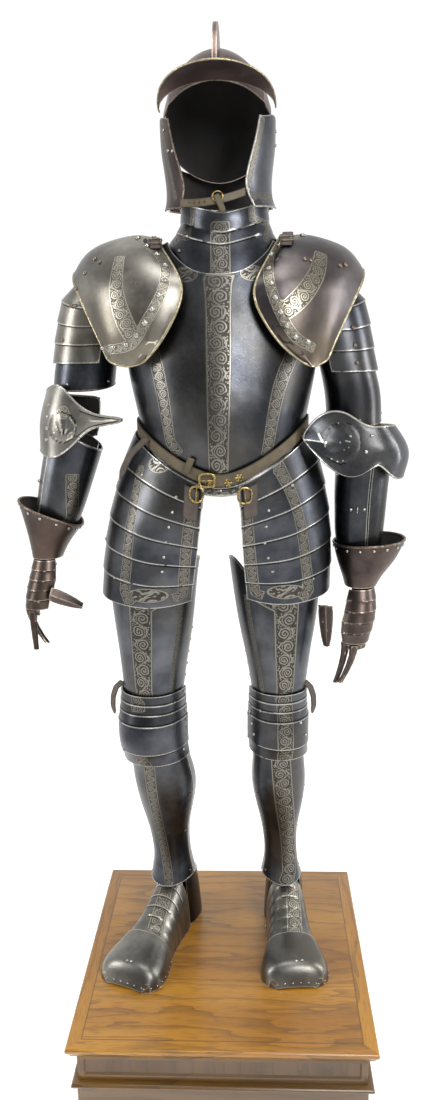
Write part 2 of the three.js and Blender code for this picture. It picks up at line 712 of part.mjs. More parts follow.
// ---- Legs -----------------------------------------------------------------
// Rows are [z, right cx, left cx, cy, rx, front, back].
const THIGH = [
  [590, -142, 118, 32, 61, 66, 58], [640, -140, 119, 33, 65, 74, 64],
  [700, -137, 116, 36, 73, 82, 70], [760, -136, 116, 40, 83, 87, 78],
  [815, -136, 115, 43, 88, 90, 82], [900, -130, 110, 46, 93, 92, 86],
];
const KNEE = [
  [444, -136, 119, 36, 68.5, 72, 60], [470, -140, 118, 32, 68.5, 80, 62],
  [510, -143, 116, 28, 71, 92, 66], [545, -143, 117, 28, 71.5, 88, 66],
  [575, -143, 117, 30, 69, 79, 64], [614, -142, 118, 32, 67, 74, 62],
];
const SHIN = [
  [122, -120, 124, 100, 52, 62, 58], [150, -120, 124, 98, 46, 53, 52],
  [176, -120, 125, 95, 41, 46, 46], [215, -123, 124, 89, 41, 44, 47],
  [254, -125, 122, 82, 43, 46, 53], [293, -126, 122, 73, 51, 52, 64],
  [331, -127, 122, 64, 60, 57, 76], [369, -127, 120, 56, 66, 60, 80],
  [406, -130, 120, 49, 67.5, 61, 76], [440, -134, 119, 42, 63, 60, 64],
  [500, -140, 118, 36, 60, 60, 56],
];

/** One leg's form from a table shared by both legs. */
function legForm(table, side) {
  const slim = (z) => (side < 0 ? 1 : along([[600, 0.88], [780, 1]], z)[0]);
  const rows = table.map(([z, r, l, cy, rx, front, back]) =>
    [z, side < 0 ? r : l, cy, rx * slim(z), front * slim(z), back * slim(z)]);
  return { rows, turn: side * 20 * TURN, square: 2.1 };
}

function cuisse(side) {
  return wrap(legForm(THIGH, side), {
    from: -128, to: 128, cols: 16, rows: plainRows(4),
    low: () => 592,
    high: (d) => 812 + 82 * along([[28, 0], [52, 0.55], [78, 1], [100, 0.96], [128, 0.7]],
      -side * d)[0],
  });
}

/** The poleyn with its knee lames above and below. */
function poleyn(side) {
  const rows = [[0, 1.4], [0.1, 0], [0.18, 0], [0.195, 1.6], [0.35, 0.5], [0.52, 0.6],
    [0.6, 1.8], [0.615, 0], [0.74, 1.5], [0.755, 0], [0.87, 1.5], [0.885, 0], [1, 1.2]];
  return wrap(legForm(KNEE, side), {
    from: -104, to: 104, cols: 12, rows, low: () => (side < 0 ? 460 : 472), high: () => 612,
  });
}

/** The front or back half of a greave. */
function greave(side, isFront) {
  const start = isFront ? -88.6 : 91.4;
  return wrap(legForm(SHIN, side), {
    from: start, to: start + 177.2, cols: 9, rows: plainRows(8),
    low: (d) => 124 + 10 * Math.sin(d * TURN) ** 2, high: () => 486,
  });
}

const FOOT = {
  right: { x: -90, y: 180, turn: -21 * TURN, long: 1 },
  left: { x: 128, y: 182, turn: 4.5 * TURN, long: 0.93 },
};
// Rows are [distance from the heel, half width, height].
const SOLE = [
  [96, 49, 132], [130, 50, 112], [160, 51, 95], [200, 55, 76], [240, 64, 62],
  [270, 72, 56], [300, 72, 50], [320, 63, 40], [FOOT_LENGTH, 42, 5],
];

/** A point of the foot's arch, at a distance from the heel. */
function onFoot(side, place, arch, less) {
  const foot = side < 0 ? FOOT.right : FOOT.left;
  const [wide, tall] = along(SOLE, place);
  const reach = place * foot.long;
  const across = (wide - less) * power(Math.sin(arch), 0.77);
  const up = (tall - less) * power(Math.max(Math.cos(arch), 0), 0.77);
  return vec(
    foot.x + reach * Math.sin(foot.turn) + across * Math.cos(foot.turn),
    foot.y - reach * Math.cos(foot.turn) + across * Math.sin(foot.turn),
    PLINTH_HEIGHT + SEAM + up,
  );
}

/** The broad toe cap of a sabaton. */
function sabatonToe(side) {
  const places = [FOOT_LENGTH, 331, 324, 312, 295, 270, 248, 228];
  const grid = places.map((s) => spread(-90, 90, 10).map((d) =>
    onFoot(side, s, d * TURN, 0)));
  return sheet(grid, STEEL, { floor: PLINTH_HEIGHT + SEAM });
}

/** The articulated lames over the instep. */
function sabatonLames(side) {
  const rows = lameRows(6, 1.4, true);
  const grid = rows.map(([v]) => spread(-90, 90, 10).map((d) =>
    onFoot(side, mix(234, 100, v), d * TURN, 3.6)));
  const raise = (r) => (r === 0 ? 0 : rows[r][1]);
  return sheet(grid, STEEL, { raise, floor: PLINTH_HEIGHT + SEAM });
}

/** The heel defence below the greave. */
function sabatonHeel(side) {
  const foot = side < 0 ? FOOT.right : FOOT.left;
  const at = (z, rx, back) => [z,
    foot.x + 62 * Math.sin(foot.turn), foot.y - 62 * Math.cos(foot.turn), rx, 42, back];
  const form = {
    rows: [at(0, 47, 60), at(60, 44, 54), at(118, 40, 44)], turn: foot.turn, square: 2.7,
  };
  return wrap(form, {
    from: 50, to: 310, cols: 12, rows: plainRows(3),
    low: () => SEAM, high: () => 118, floor: PLINTH_HEIGHT + SEAM,
  });
}

// ---- Plinth -----------------------------------------------------------------
function plinthTop() {
  const h = PLINTH_SIZE / 2;
  const z = PLINTH_HEIGHT;
  return squareStack([[z - BOARD_THICK, h - 14], [z - 21, h - 8], [z - 15, h - 5],
    [z - 9, h], [z - 3, h], [z, h - 3]]);
}

function plinthCarcass() {
  const z = PLINTH_HEIGHT - BOARD_THICK - SEAM;
  return squareStack([[z - CARCASS_DEEP, PLINTH_SIZE / 2 - 19], [z, PLINTH_SIZE / 2 - 19]]);
}

function plinthBase() {
  const h = PLINTH_SIZE / 2;
  const z = PLINTH_HEIGHT - BOARD_THICK - CARCASS_DEEP - 2 * SEAM;
  return squareStack([[0, h - 17], [z - 13, h - 17], [z - 11, h - 9], [z - 6, h - 6],
    [z - 2, h - 9], [z, h - 15]]);
}

// ---- Assembly ---------------------------------------------------------------
const suit = new THREE.Group();
suit.name = "suit_of_plate_armour";

function add(name, geometry, material) {
  const mesh = new THREE.Mesh(geometry, material());
  mesh.name = name;
  suit.add(mesh);
}

function addHelmet() {
  add("helmet_skull", skull(), russetSteel);
  add("helmet_peak", peak(), russetSteel);
  add("cheek_piece_R", cheekPiece(-1), russetSteel);
  add("cheek_piece_L", cheekPiece(1), russetSteel);
  add("nape_guard", napeGuard(), russetSteel);
  add("chin_strap", chinStrap(), brownLeather);
}

function addBody() {
  add("gorget_front", gorgetHalf(true), bluedSteel);
  add("gorget_back", gorgetHalf(false), bluedSteel);
  add("breastplate", breastplate(), bluedSteel);
  add("backplate", backplate(), bluedSteel);
  add("fauld", fauld(), bluedSteel);
  add("culet", culet(), bluedSteel);
  add("belt", belt(), brownLeather);
  add("belt_buckle", beltBuckle(), brass);
}

function addArm(side, tag) {
  add("pauldron_" + tag, pauldronPlate(side), bluedSteel);
  add("arm_lames_" + tag, armLames(side), bluedSteel);
  add("upper_cannon_" + tag, upperCannon(side), bluedSteel);
  add("couter_" + tag, couter(side), bluedSteel);
  add("lower_cannon_outer_" + tag, lowerCannon(side, true), bluedSteel);
  add("lower_cannon_inner_" + tag, lowerCannon(side, false), bluedSteel);
  add("gauntlet_cuff_" + tag, gauntletCuff(side), russetSteel);
  add("gauntlet_hand_" + tag, gauntletHand(side), russetSteel);
  add("gauntlet_fingers_" + tag, gauntletFingers(side), russetSteel);
  add("gauntlet_thumb_" + tag, gauntletThumb(side), russetSteel);
}

function addLeg(side, tag) {
  add("tasset_" + tag, tasset(side, 0, 1, 6), bluedSteel);
  add("tasset_strap_" + tag, tassetStrap(side), brownLeather);
  add("cuisse_" + tag, cuisse(side), bluedSteel);
  add("poleyn_" + tag, poleyn(side), bluedSteel);
  add("greave_front_" + tag, greave(side, true), bluedSteel);
  add("greave_back_" + tag, greave(side, false), bluedSteel);
  add("sabaton_toe_" + tag, sabatonToe(side), bluedSteel);
  add("sabaton_lames_" + tag, sabatonLames(side), bluedSteel);
  add("sabaton_heel_" + tag, sabatonHeel(side), bluedSteel);
}

addHelmet();
addBody();
for (const [side, tag] of [[-1, "R"], [1, "L"]]) {
  addArm(side, tag);
  addLeg(side, tag);
}
add("plinth_top", plinthTop(), goldenOak);
add("plinth_carcass", plinthCarcass(), goldenOak);
add("plinth_base", plinthBase(), goldenOak);

export default suit;
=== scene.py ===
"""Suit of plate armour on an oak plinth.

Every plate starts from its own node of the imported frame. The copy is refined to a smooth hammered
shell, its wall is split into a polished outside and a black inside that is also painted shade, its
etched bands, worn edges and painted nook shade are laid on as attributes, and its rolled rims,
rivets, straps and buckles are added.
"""

import json
import logging
import math
from dataclasses import dataclass
from enum import Enum
from typing import Any, Optional, Sequence, Union

import bmesh
import bpy
import numpy as np
from mathutils import Matrix, Vector
from mathutils.bvhtree import BVHTree
from mathutils.kdtree import KDTree

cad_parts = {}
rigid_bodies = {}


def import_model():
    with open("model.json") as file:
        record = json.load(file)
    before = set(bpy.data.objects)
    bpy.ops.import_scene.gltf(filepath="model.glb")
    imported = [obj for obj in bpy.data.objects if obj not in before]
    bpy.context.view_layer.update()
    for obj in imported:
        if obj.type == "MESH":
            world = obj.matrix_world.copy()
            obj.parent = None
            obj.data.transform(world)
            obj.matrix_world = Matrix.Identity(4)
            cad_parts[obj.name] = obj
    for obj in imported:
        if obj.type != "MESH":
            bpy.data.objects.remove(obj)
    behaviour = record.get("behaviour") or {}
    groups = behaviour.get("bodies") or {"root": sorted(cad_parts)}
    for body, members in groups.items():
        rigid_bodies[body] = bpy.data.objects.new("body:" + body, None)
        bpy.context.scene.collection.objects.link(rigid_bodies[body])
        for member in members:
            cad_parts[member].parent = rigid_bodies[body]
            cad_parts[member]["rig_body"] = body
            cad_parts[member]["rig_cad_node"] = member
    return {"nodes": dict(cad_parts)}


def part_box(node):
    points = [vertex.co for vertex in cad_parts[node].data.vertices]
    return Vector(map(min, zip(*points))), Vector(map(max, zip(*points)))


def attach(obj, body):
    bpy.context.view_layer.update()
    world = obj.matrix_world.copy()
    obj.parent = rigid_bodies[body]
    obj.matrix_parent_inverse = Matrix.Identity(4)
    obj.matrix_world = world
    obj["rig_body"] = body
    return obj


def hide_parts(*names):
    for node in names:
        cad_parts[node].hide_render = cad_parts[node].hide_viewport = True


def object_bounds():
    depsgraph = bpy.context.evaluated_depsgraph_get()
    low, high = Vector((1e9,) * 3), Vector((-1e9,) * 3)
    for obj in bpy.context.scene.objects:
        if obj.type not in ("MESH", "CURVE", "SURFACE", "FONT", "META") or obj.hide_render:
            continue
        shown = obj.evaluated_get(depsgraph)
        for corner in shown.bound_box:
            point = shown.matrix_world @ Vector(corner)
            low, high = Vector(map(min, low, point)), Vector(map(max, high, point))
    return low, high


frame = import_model()
CAD_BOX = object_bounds()

log = logging.getLogger("armour")
MM = 0.001
SPOT_STEP = 2 * MM  # between the points that stand for an edge
FAR_MM = 40.0  # distances over this don't show
WALL_TURN = 55  # degrees: where the wall's outside ends and its rim starts
WEAR_AND_SHADE_TURN = 13  # degrees: a sharper edge is rubbed bright, a sharper nook gets painted shade
CORNER_TURN = 38  # degrees: where one side of a rim ends and the next starts
WALL_MM = 2.2  # no steel wall is thicker
RIM_MM = 1.7  # a region of faces that is narrower is a rim
Socket = bpy.types.NodeSocket
Given = Union[float, tuple, Socket, None]
Line = list[Vector]


# ---- Small tools ---------------------------------------------------------------------------------
def only(*pieces: bpy.types.Object) -> None:
    """Selects these objects alone, the last of them active.

    Args:
        pieces: the objects that the next operator works on.
    """
    if bpy.context.object and bpy.context.object.mode != "OBJECT":
        bpy.ops.object.mode_set(mode="OBJECT")
    bpy.ops.object.select_all(action="DESELECT")
    for piece in pieces:
        piece.select_set(True)
    bpy.context.view_layer.objects.active = pieces[-1]


def join(name: str, pieces: Sequence[bpy.types.Object]) -> bpy.types.Object:
    """Joins objects into one, which keeps the last one's place.

    Args:
        name: the joined piece's name.
        pieces: at least one object.

    Returns:
        The joined object.
    """
    only(*pieces)
    if len(pieces) > 1:
        bpy.ops.object.join()
    piece = bpy.context.object
    piece.name = piece.data.name = name
    return piece


def settle(piece: bpy.types.Object) -> bpy.types.Object:
    """Applies all modifiers and the object's own place, so that its mesh holds it.

    Args:
        piece: the object to settle.

    Returns:
        The same object.
    """
    only(piece)
    for modifier in list(piece.modifiers):
        bpy.ops.object.modifier_apply(modifier=modifier.name)
    bpy.ops.object.transform_apply(location=True, rotation=True, scale=True)
    return piece


def dress(piece: bpy.types.Object, material: bpy.types.Material, body: str = "suit",
          replaces: Sequence[str] = ()) -> bpy.types.Object:
    """Gives a finished piece its material and its body.

    Args:
        piece: the finished object.
        material: its finish.
        body: the body it moves with.
        replaces: the frame's nodes that it stands for.

    Returns:
        The same object.
    """
    if not piece.data.materials:
        piece.data.materials.append(material)
    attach(piece, body)
    if replaces:
        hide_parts(*replaces)
    log.info("%s: %d faces, on %s", piece.name, len(piece.data.polygons), body)
    return piece


def soften(piece: bpy.types.Object, width: float, segments: int = 2, angle: float = 35) -> None:
    """Bevels a piece's hard edges and shades it smooth by angle.

    Args:
        piece: the object.
        width: bevel width in metres.
        segments: steps over the bevel.
        angle: edges sharper than this, in degrees, are bevelled.
    """
    bevel = piece.modifiers.new("bevel", "BEVEL")
    bevel.width, bevel.segments = width, segments
    bevel.limit_method, bevel.angle_limit = "ANGLE", math.radians(angle)
    settle(piece)
    bpy.ops.object.shade_smooth_by_angle(angle=math.radians(40))


def linear(code: str) -> tuple[float, float, float, float]:
    """An sRGB hex colour as linear red, green, blue and alpha."""
    parts = [int(code[i:i + 2], 16) / 255 for i in (0, 2, 4)]
    turned = [c / 12.92 if c <= 0.04045 else ((c + 0.055) / 1.055) ** 2.4 for c in parts]
    return (*turned, 1.0)


def add(tree: bpy.types.NodeTree, kind: str, *given: Given, named: Optional[dict] = None,
        out: Union[int, None] = 0, **settings: Any) -> Any:
    """Adds one shader node with its settings and links.

    Args:
        tree: the material's node tree.
        kind: the node's type without its ShaderNode prefix.
        given: values or sockets for the first inputs, in order; None leaves one as it is.
        named: values or sockets for inputs by name.
        out: which output to return, or None for the node itself.
        settings: properties of the node.

    Returns:
        An output socket, or the node.
    """
    made = tree.nodes.new("ShaderNode" + kind)
    for key, value in settings.items():
        setattr(made, key, value)
    pairs = [*enumerate(given), *(named or {}).items()]
    for key, value in pairs:
        if isinstance(value, bpy.types.NodeSocket):
            tree.links.new(value, made.inputs[key])
        elif value is not None:
            made.inputs[key].default_value = value
    return made if out is None else made.outputs[out]


def surface_of(mesh: bpy.types.Mesh, faces: Optional[list[int]] = None) -> BVHTree:
    """A mesh's surface, for finding places on it.

    Args:
        mesh: the mesh.
        faces: numbers of the faces that count, or None for all.

    Returns:
        The search tree.
    """
    chosen = mesh.polygons if faces is None else [mesh.polygons[i] for i in faces]
    return BVHTree.FromPolygons([v.co.copy() for v in mesh.vertices],
                                [tuple(p.vertices) for p in chosen])


def spots_along(edge: bmesh.types.BMEdge) -> Line:
    """Points along an edge, close enough to measure distances from.

    Args:
        edge: the edge.

    Returns:
        The points, its first end among them.
    """
    a, b = edge.verts[0].co, edge.verts[1].co
    count = max(1, int((b - a).length / SPOT_STEP))
    return [a.lerp(b, i / count) for i in range(count)]


def lay_distance(mesh: bpy.types.Mesh, name: str, spots: Line) -> None:
    """Lays on each point's distance in mm to the nearest spot, as an attribute.

    Args:
        mesh: the mesh.
        name: the attribute's name.
        spots: the points to measure from.
    """
    tree = KDTree(max(len(spots), 1))
    for i, spot in enumerate(spots):
        tree.insert(spot, i)
    tree.balance()
    far = np.full(len(mesh.vertices), FAR_MM)
    if spots:
        far = np.array([min(tree.find(v.co)[2] / MM, FAR_MM) for v in mesh.vertices])
    layer = mesh.attributes.new(name, "FLOAT", "POINT")
    layer.data.foreach_set("value", far.astype(np.float32))


def smooth_by(piece: bpy.types.Object, levels: int) -> None:
    """Rounds a coarse mesh by subdivision.

    Args:
        piece: the object; its mesh is replaced.
        levels: how many times each face is cut in four.
    """
    smooth = piece.modifiers.new("smooth", "SUBSURF")
    smooth.levels = smooth.render_levels = levels
    settle(piece)


def in_box(node: str, across: float, up: float) -> Vector:
    """The point on the front of a node's box at shares of its width and height.

    Args:
        node: the node.
        across: share of the box along X.
        up: share of the box along Z.

    Returns:
        The point.
    """
    low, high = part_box(node)
    return Vector((low.x + across * (high.x - low.x), low.y, low.z + up * (high.z - low.z)))


# ---- Finishes ------------------------------------------------------------------------------------
class Finish:
    """A named material, made once and then shared."""

    name: str = ""

    def build(self, tree: bpy.types.NodeTree) -> dict[str, Given]:
        """The values and sockets of the main shader, by input name."""
        raise NotImplementedError

    def make(self) -> bpy.types.Material:
        """Makes the material, or finds it if it was made before.

        Returns:
            The material.
        """
        found = bpy.data.materials.get(self.name)
        if found:
            return found
        material = bpy.data.materials.new(self.name)
        material.use_nodes = True
        tree = material.node_tree
        tree.nodes.clear()
        shader = add(tree, "BsdfPrincipled", named=self.build(tree))
        add(tree, "OutputMaterial", shader, out=None)
        return material


@dataclass(frozen=True)
class PlateSteel(Finish):
    """Hammered, planished and polished armour plate with etched bands and rubbed edges.

    The eye gets broad soft reflections, slightly wavy from the hammer, cloudy heat colour, bright
    worn rims and lame edges, painted shade darkening the nooks, and scrollwork in bands, its raised
    leaves bright on a stippled dark ground.
    """

    name: str = "blued_plate_steel"
    plain: str = "33353a"  # oil-blackened blue
    bloom: str = "57595e"  # where handling has rubbed it grey
    tint: str = "57503f"  # straw-brown heat colour
    tint_share: float = 0.35
    worn: str = "b9b7b1"  # bare metal on edges
    ground: str = "3c3a36"  # bitten, stippled ground of the etching
    leaf: str = "726f69"  # raised design
    gloss: float = 0.27
    rough: float = 0.46
    wear: float = 0.85

    def etching(self, tree: bpy.types.NodeTree) -> tuple[Socket, Socket]:
        """The etched bands.

        Args:
            tree: the material's node tree.

        Returns:
            The mask of the bands, and the raised design in them, 0 to 1.
        """
        band = add(tree, "Attribute", attribute_name="etch", out=None)
        axes = add(tree, "SeparateXYZ", band.outputs["Vector"], out=None).outputs
        side = add(tree, "Attribute", attribute_name="etch_side", out=None).outputs["Fac"]
        place = add(tree, "TexCoord", out=None).outputs["Object"]
        waver = add(tree, "TexNoise", place, None, 120.0, 1.0)
        waver = add(tree, "Math", waver, 0.5, operation="SUBTRACT")
        across = add(tree, "Math", waver, 0.22, side, operation="MULTIPLY_ADD")
        run = add(tree, "Math", waver, 0.22, axes[1], operation="MULTIPLY_ADD")
        depth, flag = axes[0], axes[2]
        inside = add(tree, "Math", depth, 1.0, operation="LESS_THAN")
        mask = add(tree, "Math", inside, flag, operation="MULTIPLY")
        # Stems swing from side to side; a volute fills each bay.
        turn = add(tree, "Math", run, 2 * math.pi / 2.4, operation="MULTIPLY")
        swing = add(tree, "Math", turn, operation="SINE")
        sign = add(tree, "Math", swing, operation="SIGN")
        flipped = add(tree, "Math", across, sign, operation="MULTIPLY")
        bay = add(tree, "Math", run, 1 / 1.2, operation="MULTIPLY")
        bay = add(tree, "Math", bay, operation="FRACT")
        bay = add(tree, "Math", bay, 0.5, operation="SUBTRACT")
        bay = add(tree, "Math", bay, 1.2, operation="MULTIPLY")
        off = add(tree, "Math", flipped, 0.18, operation="ADD")
        pair = add(tree, "CombineXYZ", off, bay)
        reach = add(tree, "VectorMath", pair, operation="LENGTH", out=1)
        angle = add(tree, "Math", bay, off, operation="ARCTAN2")
        angle = add(tree, "Math", angle, -1 / (2 * math.pi), operation="MULTIPLY")
        coil = add(tree, "Math", reach, 1 / 0.24, angle, operation="MULTIPLY_ADD")
        coil = add(tree, "Math", coil, operation="FRACT")
        coil = add(tree, "Math", coil, 0.5, operation="LESS_THAN")
        near = add(tree, "Math", reach, 0.56, operation="LESS_THAN")
        coil = add(tree, "Math", coil, near, operation="MULTIPLY")
        height = add(tree, "Math", swing, operation="ABSOLUTE")
        height = add(tree, "Math", height, 0.6, operation="MULTIPLY")
        stem = add(tree, "Math", flipped, height, operation="SUBTRACT")
        stem = add(tree, "Math", stem, operation="ABSOLUTE")
        stem = add(tree, "Math", stem, 0.075, operation="LESS_THAN")
        grid = add(tree, "CombineXYZ", across, run)
        leaves = add(tree, "TexVoronoi", grid, None, 4.6, voronoi_dimensions="2D")
        leaves = add(tree, "Math", leaves, 0.3, operation="LESS_THAN")
        far = add(tree, "Math", reach, 0.62, operation="GREATER_THAN")
        leaves = add(tree, "Math", leaves, far, operation="MULTIPLY")
        inner = add(tree, "Math", depth, 0.82, operation="LESS_THAN")
        design = add(tree, "Math", coil, stem, operation="MAXIMUM")
        design = add(tree, "Math", design, leaves, operation="MAXIMUM")
        design = add(tree, "Math", design, inner, operation="MULTIPLY")
        line = add(tree, "Math", depth, 0.91, operation="SUBTRACT")
        line = add(tree, "Math", line, operation="ABSOLUTE")
        line = add(tree, "Math", line, 0.055, operation="LESS_THAN")
        design = add(tree, "Math", design, line, operation="MAXIMUM")
        return mask, design

    def build(self, tree: bpy.types.NodeTree) -> dict[str, Given]:
        """Colour, gloss and relief of the plate.

        Args:
            tree: the material's node tree.

        Returns:
            Inputs of the main shader by name.
        """
        place = add(tree, "TexCoord", out=None).outputs["Object"]
        clouds = add(tree, "TexNoise", place, None, 7.0, 4.0, 0.6)
        clouds = add(tree, "MapRange", clouds, 0.42, 0.66, 0.0, 1.0)
        warm = add(tree, "TexNoise", place, None, 4.0, 3.0, 0.55)
        warm = add(tree, "MapRange", warm, 0.48, 0.7, 0.0, self.tint_share)
        colour = add(tree, "MixRGB", clouds, linear(self.plain), linear(self.bloom))
        colour = add(tree, "MixRGB", warm, colour, linear(self.tint))
        # Polishing scratches, drawn 4 mm long and 1 mm wide so that they show.
        stretched = add(tree, "Mapping", place, None, None, (240.0, 240.0, 900.0))
        scratch = add(tree, "TexNoise", stretched, None, 1.0, 2.0)
        fine = add(tree, "TexNoise", place, None, 420.0, 2.0)
        edge = add(tree, "Attribute", attribute_name="edge_mm", out=None).outputs["Fac"]
        nook = add(tree, "Attribute", attribute_name="nook_mm", out=None).outputs["Fac"]
        rub = add(tree, "MapRange", edge, 0.5, 2.1, self.wear, 0.0)
        broken = add(tree, "MapRange", fine, 0.35, 0.6, 0.55, 1.0)
        rub = add(tree, "Math", rub, broken, operation="MULTIPLY")
        # Painted shade in the nooks: darkest at a concave edge, gone 2.4 mm from it.
        painted_nook_shade = add(tree, "MapRange", nook, 0.3, 2.4, 0.85, 0.0)
        mask, design = self.etching(tree)
        figure = add(tree, "MixRGB", design, linear(self.ground), linear(self.leaf))
        colour = add(tree, "MixRGB", mask, colour, figure)
        colour = add(tree, "MixRGB", rub, colour, linear(self.worn))
        # The painted shade darkens the nooks towards near-black.
        colour = add(tree, "MixRGB", painted_nook_shade, colour, linear("0c0b0a"))
        gloss = add(tree, "MapRange", scratch, 0.3, 0.7, self.gloss, self.gloss + 0.12)
        dull = add(tree, "MapRange", design, 0.0, 1.0, self.rough + 0.1, self.rough - 0.12)
        gloss = add(tree, "MixRGB", mask, gloss, dull)
        hammer = add(tree, "TexNoise", place, None, 26.0, 1.0)
        first = add(tree, "Bump", named={"Strength": 0.35, "Distance": 0.0012, "Height": hammer})
        relief = add(tree, "Math", mask, design, operation="MULTIPLY")
        relief = add(tree, "Math", relief, 0.9, fine, operation="MULTIPLY_ADD")
        bump = add(tree, "Bump",
                   named={"Strength": 0.3, "Distance": 0.0004, "Height": relief, "Normal": first})
        return {"Base Color": colour, "Metallic": 1.0, "Roughness": gloss, "Normal": bump}


@dataclass(frozen=True)
class BlackPaintAndShade(Finish):
    """The inside of a plate: rough from the hammer, black paint that is also painted shade.

    The eye gets almost no reflection, and dimples about 12 mm across.
    """

    name: str = "blackened_hammered_inside"

    def build(self, tree: bpy.types.NodeTree) -> dict[str, Given]:
        """Black paint, also painted shade, over hammer dents.

        Args:
            tree: the material's node tree.

        Returns:
            Inputs of the main shader by name.
        """
        place = add(tree, "TexCoord", out=None).outputs["Object"]
        dents = add(tree, "TexVoronoi", place, None, 80.0)
        stain = add(tree, "TexNoise", place, None, 30.0, 3.0)
        colour = add(tree, "MixRGB", stain, linear("0b0a0b"), linear("1d1816"))
        bump = add(tree, "Bump", named={"Strength": 0.4, "Distance": 0.001, "Height": dents})
        return {"Base Color": colour, "Metallic": 0.0, "Roughness": 0.8, "Normal": bump}


@dataclass(frozen=True)
class CastBrass(Finish):
    """Cast and filed brass or bright steel of rivets, buckles and rims, handled for centuries.

    The eye gets small hard glints, darker in patches where wax and dirt have stayed.
    """

    name: str = "old_brass"
    bright: str = "a8935f"
    dark: str = "4f442c"
    gloss: float = 0.3

    def build(self, tree: bpy.types.NodeTree) -> dict[str, Given]:
        """Metal with dirt in its hollows.

        Args:
            tree: the material's node tree.

        Returns:
            Inputs of the main shader by name.
        """
        place = add(tree, "TexCoord", out=None).outputs["Object"]
        dirt = add(tree, "TexNoise", place, None, 160.0, 4.0, 0.6)
        dirt = add(tree, "MapRange", dirt, 0.35, 0.62, 0.0, 1.0)
        colour = add(tree, "MixRGB", dirt, linear(self.dark), linear(self.bright))
        gloss = add(tree, "MapRange", dirt, 0.0, 1.0, self.gloss + 0.25, self.gloss)
        bump = add(tree, "Bump", named={"Strength": 0.25, "Distance": 0.0003, "Height": dirt})
        return {"Base Color": colour, "Metallic": 1.0, "Roughness": gloss, "Normal": bump}


@dataclass(frozen=True)
class StrapLeather(Finish):
    """Vegetable-tanned strap leather, waxed, darkened along its cut edges.

    The eye gets a dull olive-brown with fine grain 1 mm across, creases some 4 mm apart and
    burnished dark edges.
    """

    name: str = "waxed_strap_leather"
    face: str = "3b321f"
    worn: str = "4c412b"
    edge: str = "2e2517"

    def build(self, tree: bpy.types.NodeTree) -> dict[str, Given]:
        """Waxed leather with dark cut edges.

        Args:
            tree: the material's node tree.

        Returns:
            Inputs of the main shader by name.
        """
        place = add(tree, "TexCoord", out=None).outputs["Object"]
        blotch = add(tree, "TexNoise", place, None, 45.0, 4.0, 0.6)
        blotch = add(tree, "MapRange", blotch, 0.35, 0.65, 0.0, 1.0)
        colour = add(tree, "MixRGB", blotch, linear(self.face), linear(self.worn))
        grain = add(tree, "TexVoronoi", place, None, 900.0)
        crease = add(tree, "TexNoise", place, None, 220.0, 3.0, 0.7)
        rim = add(tree, "Attribute", attribute_name="edge_mm", out=None).outputs["Fac"]
        rim = add(tree, "MapRange", rim, 0.4, 2.6, 0.9, 0.0)
        colour = add(tree, "MixRGB", rim, colour, linear(self.edge))
        both = add(tree, "Math", grain, 0.4, crease, operation="MULTIPLY_ADD")
        bump = add(tree, "Bump", named={"Strength": 0.5, "Distance": 0.0005, "Height": both})
        gloss = add(tree, "MapRange", crease, 0.3, 0.7, 0.48, 0.66)
        return {"Base Color": colour, "Metallic": 0.0, "Roughness": gloss, "Normal": bump}


class Grain(Enum):
    """The way the oak's grain runs on a piece."""

    ACROSS = "across"
    UPRIGHT = "upright"


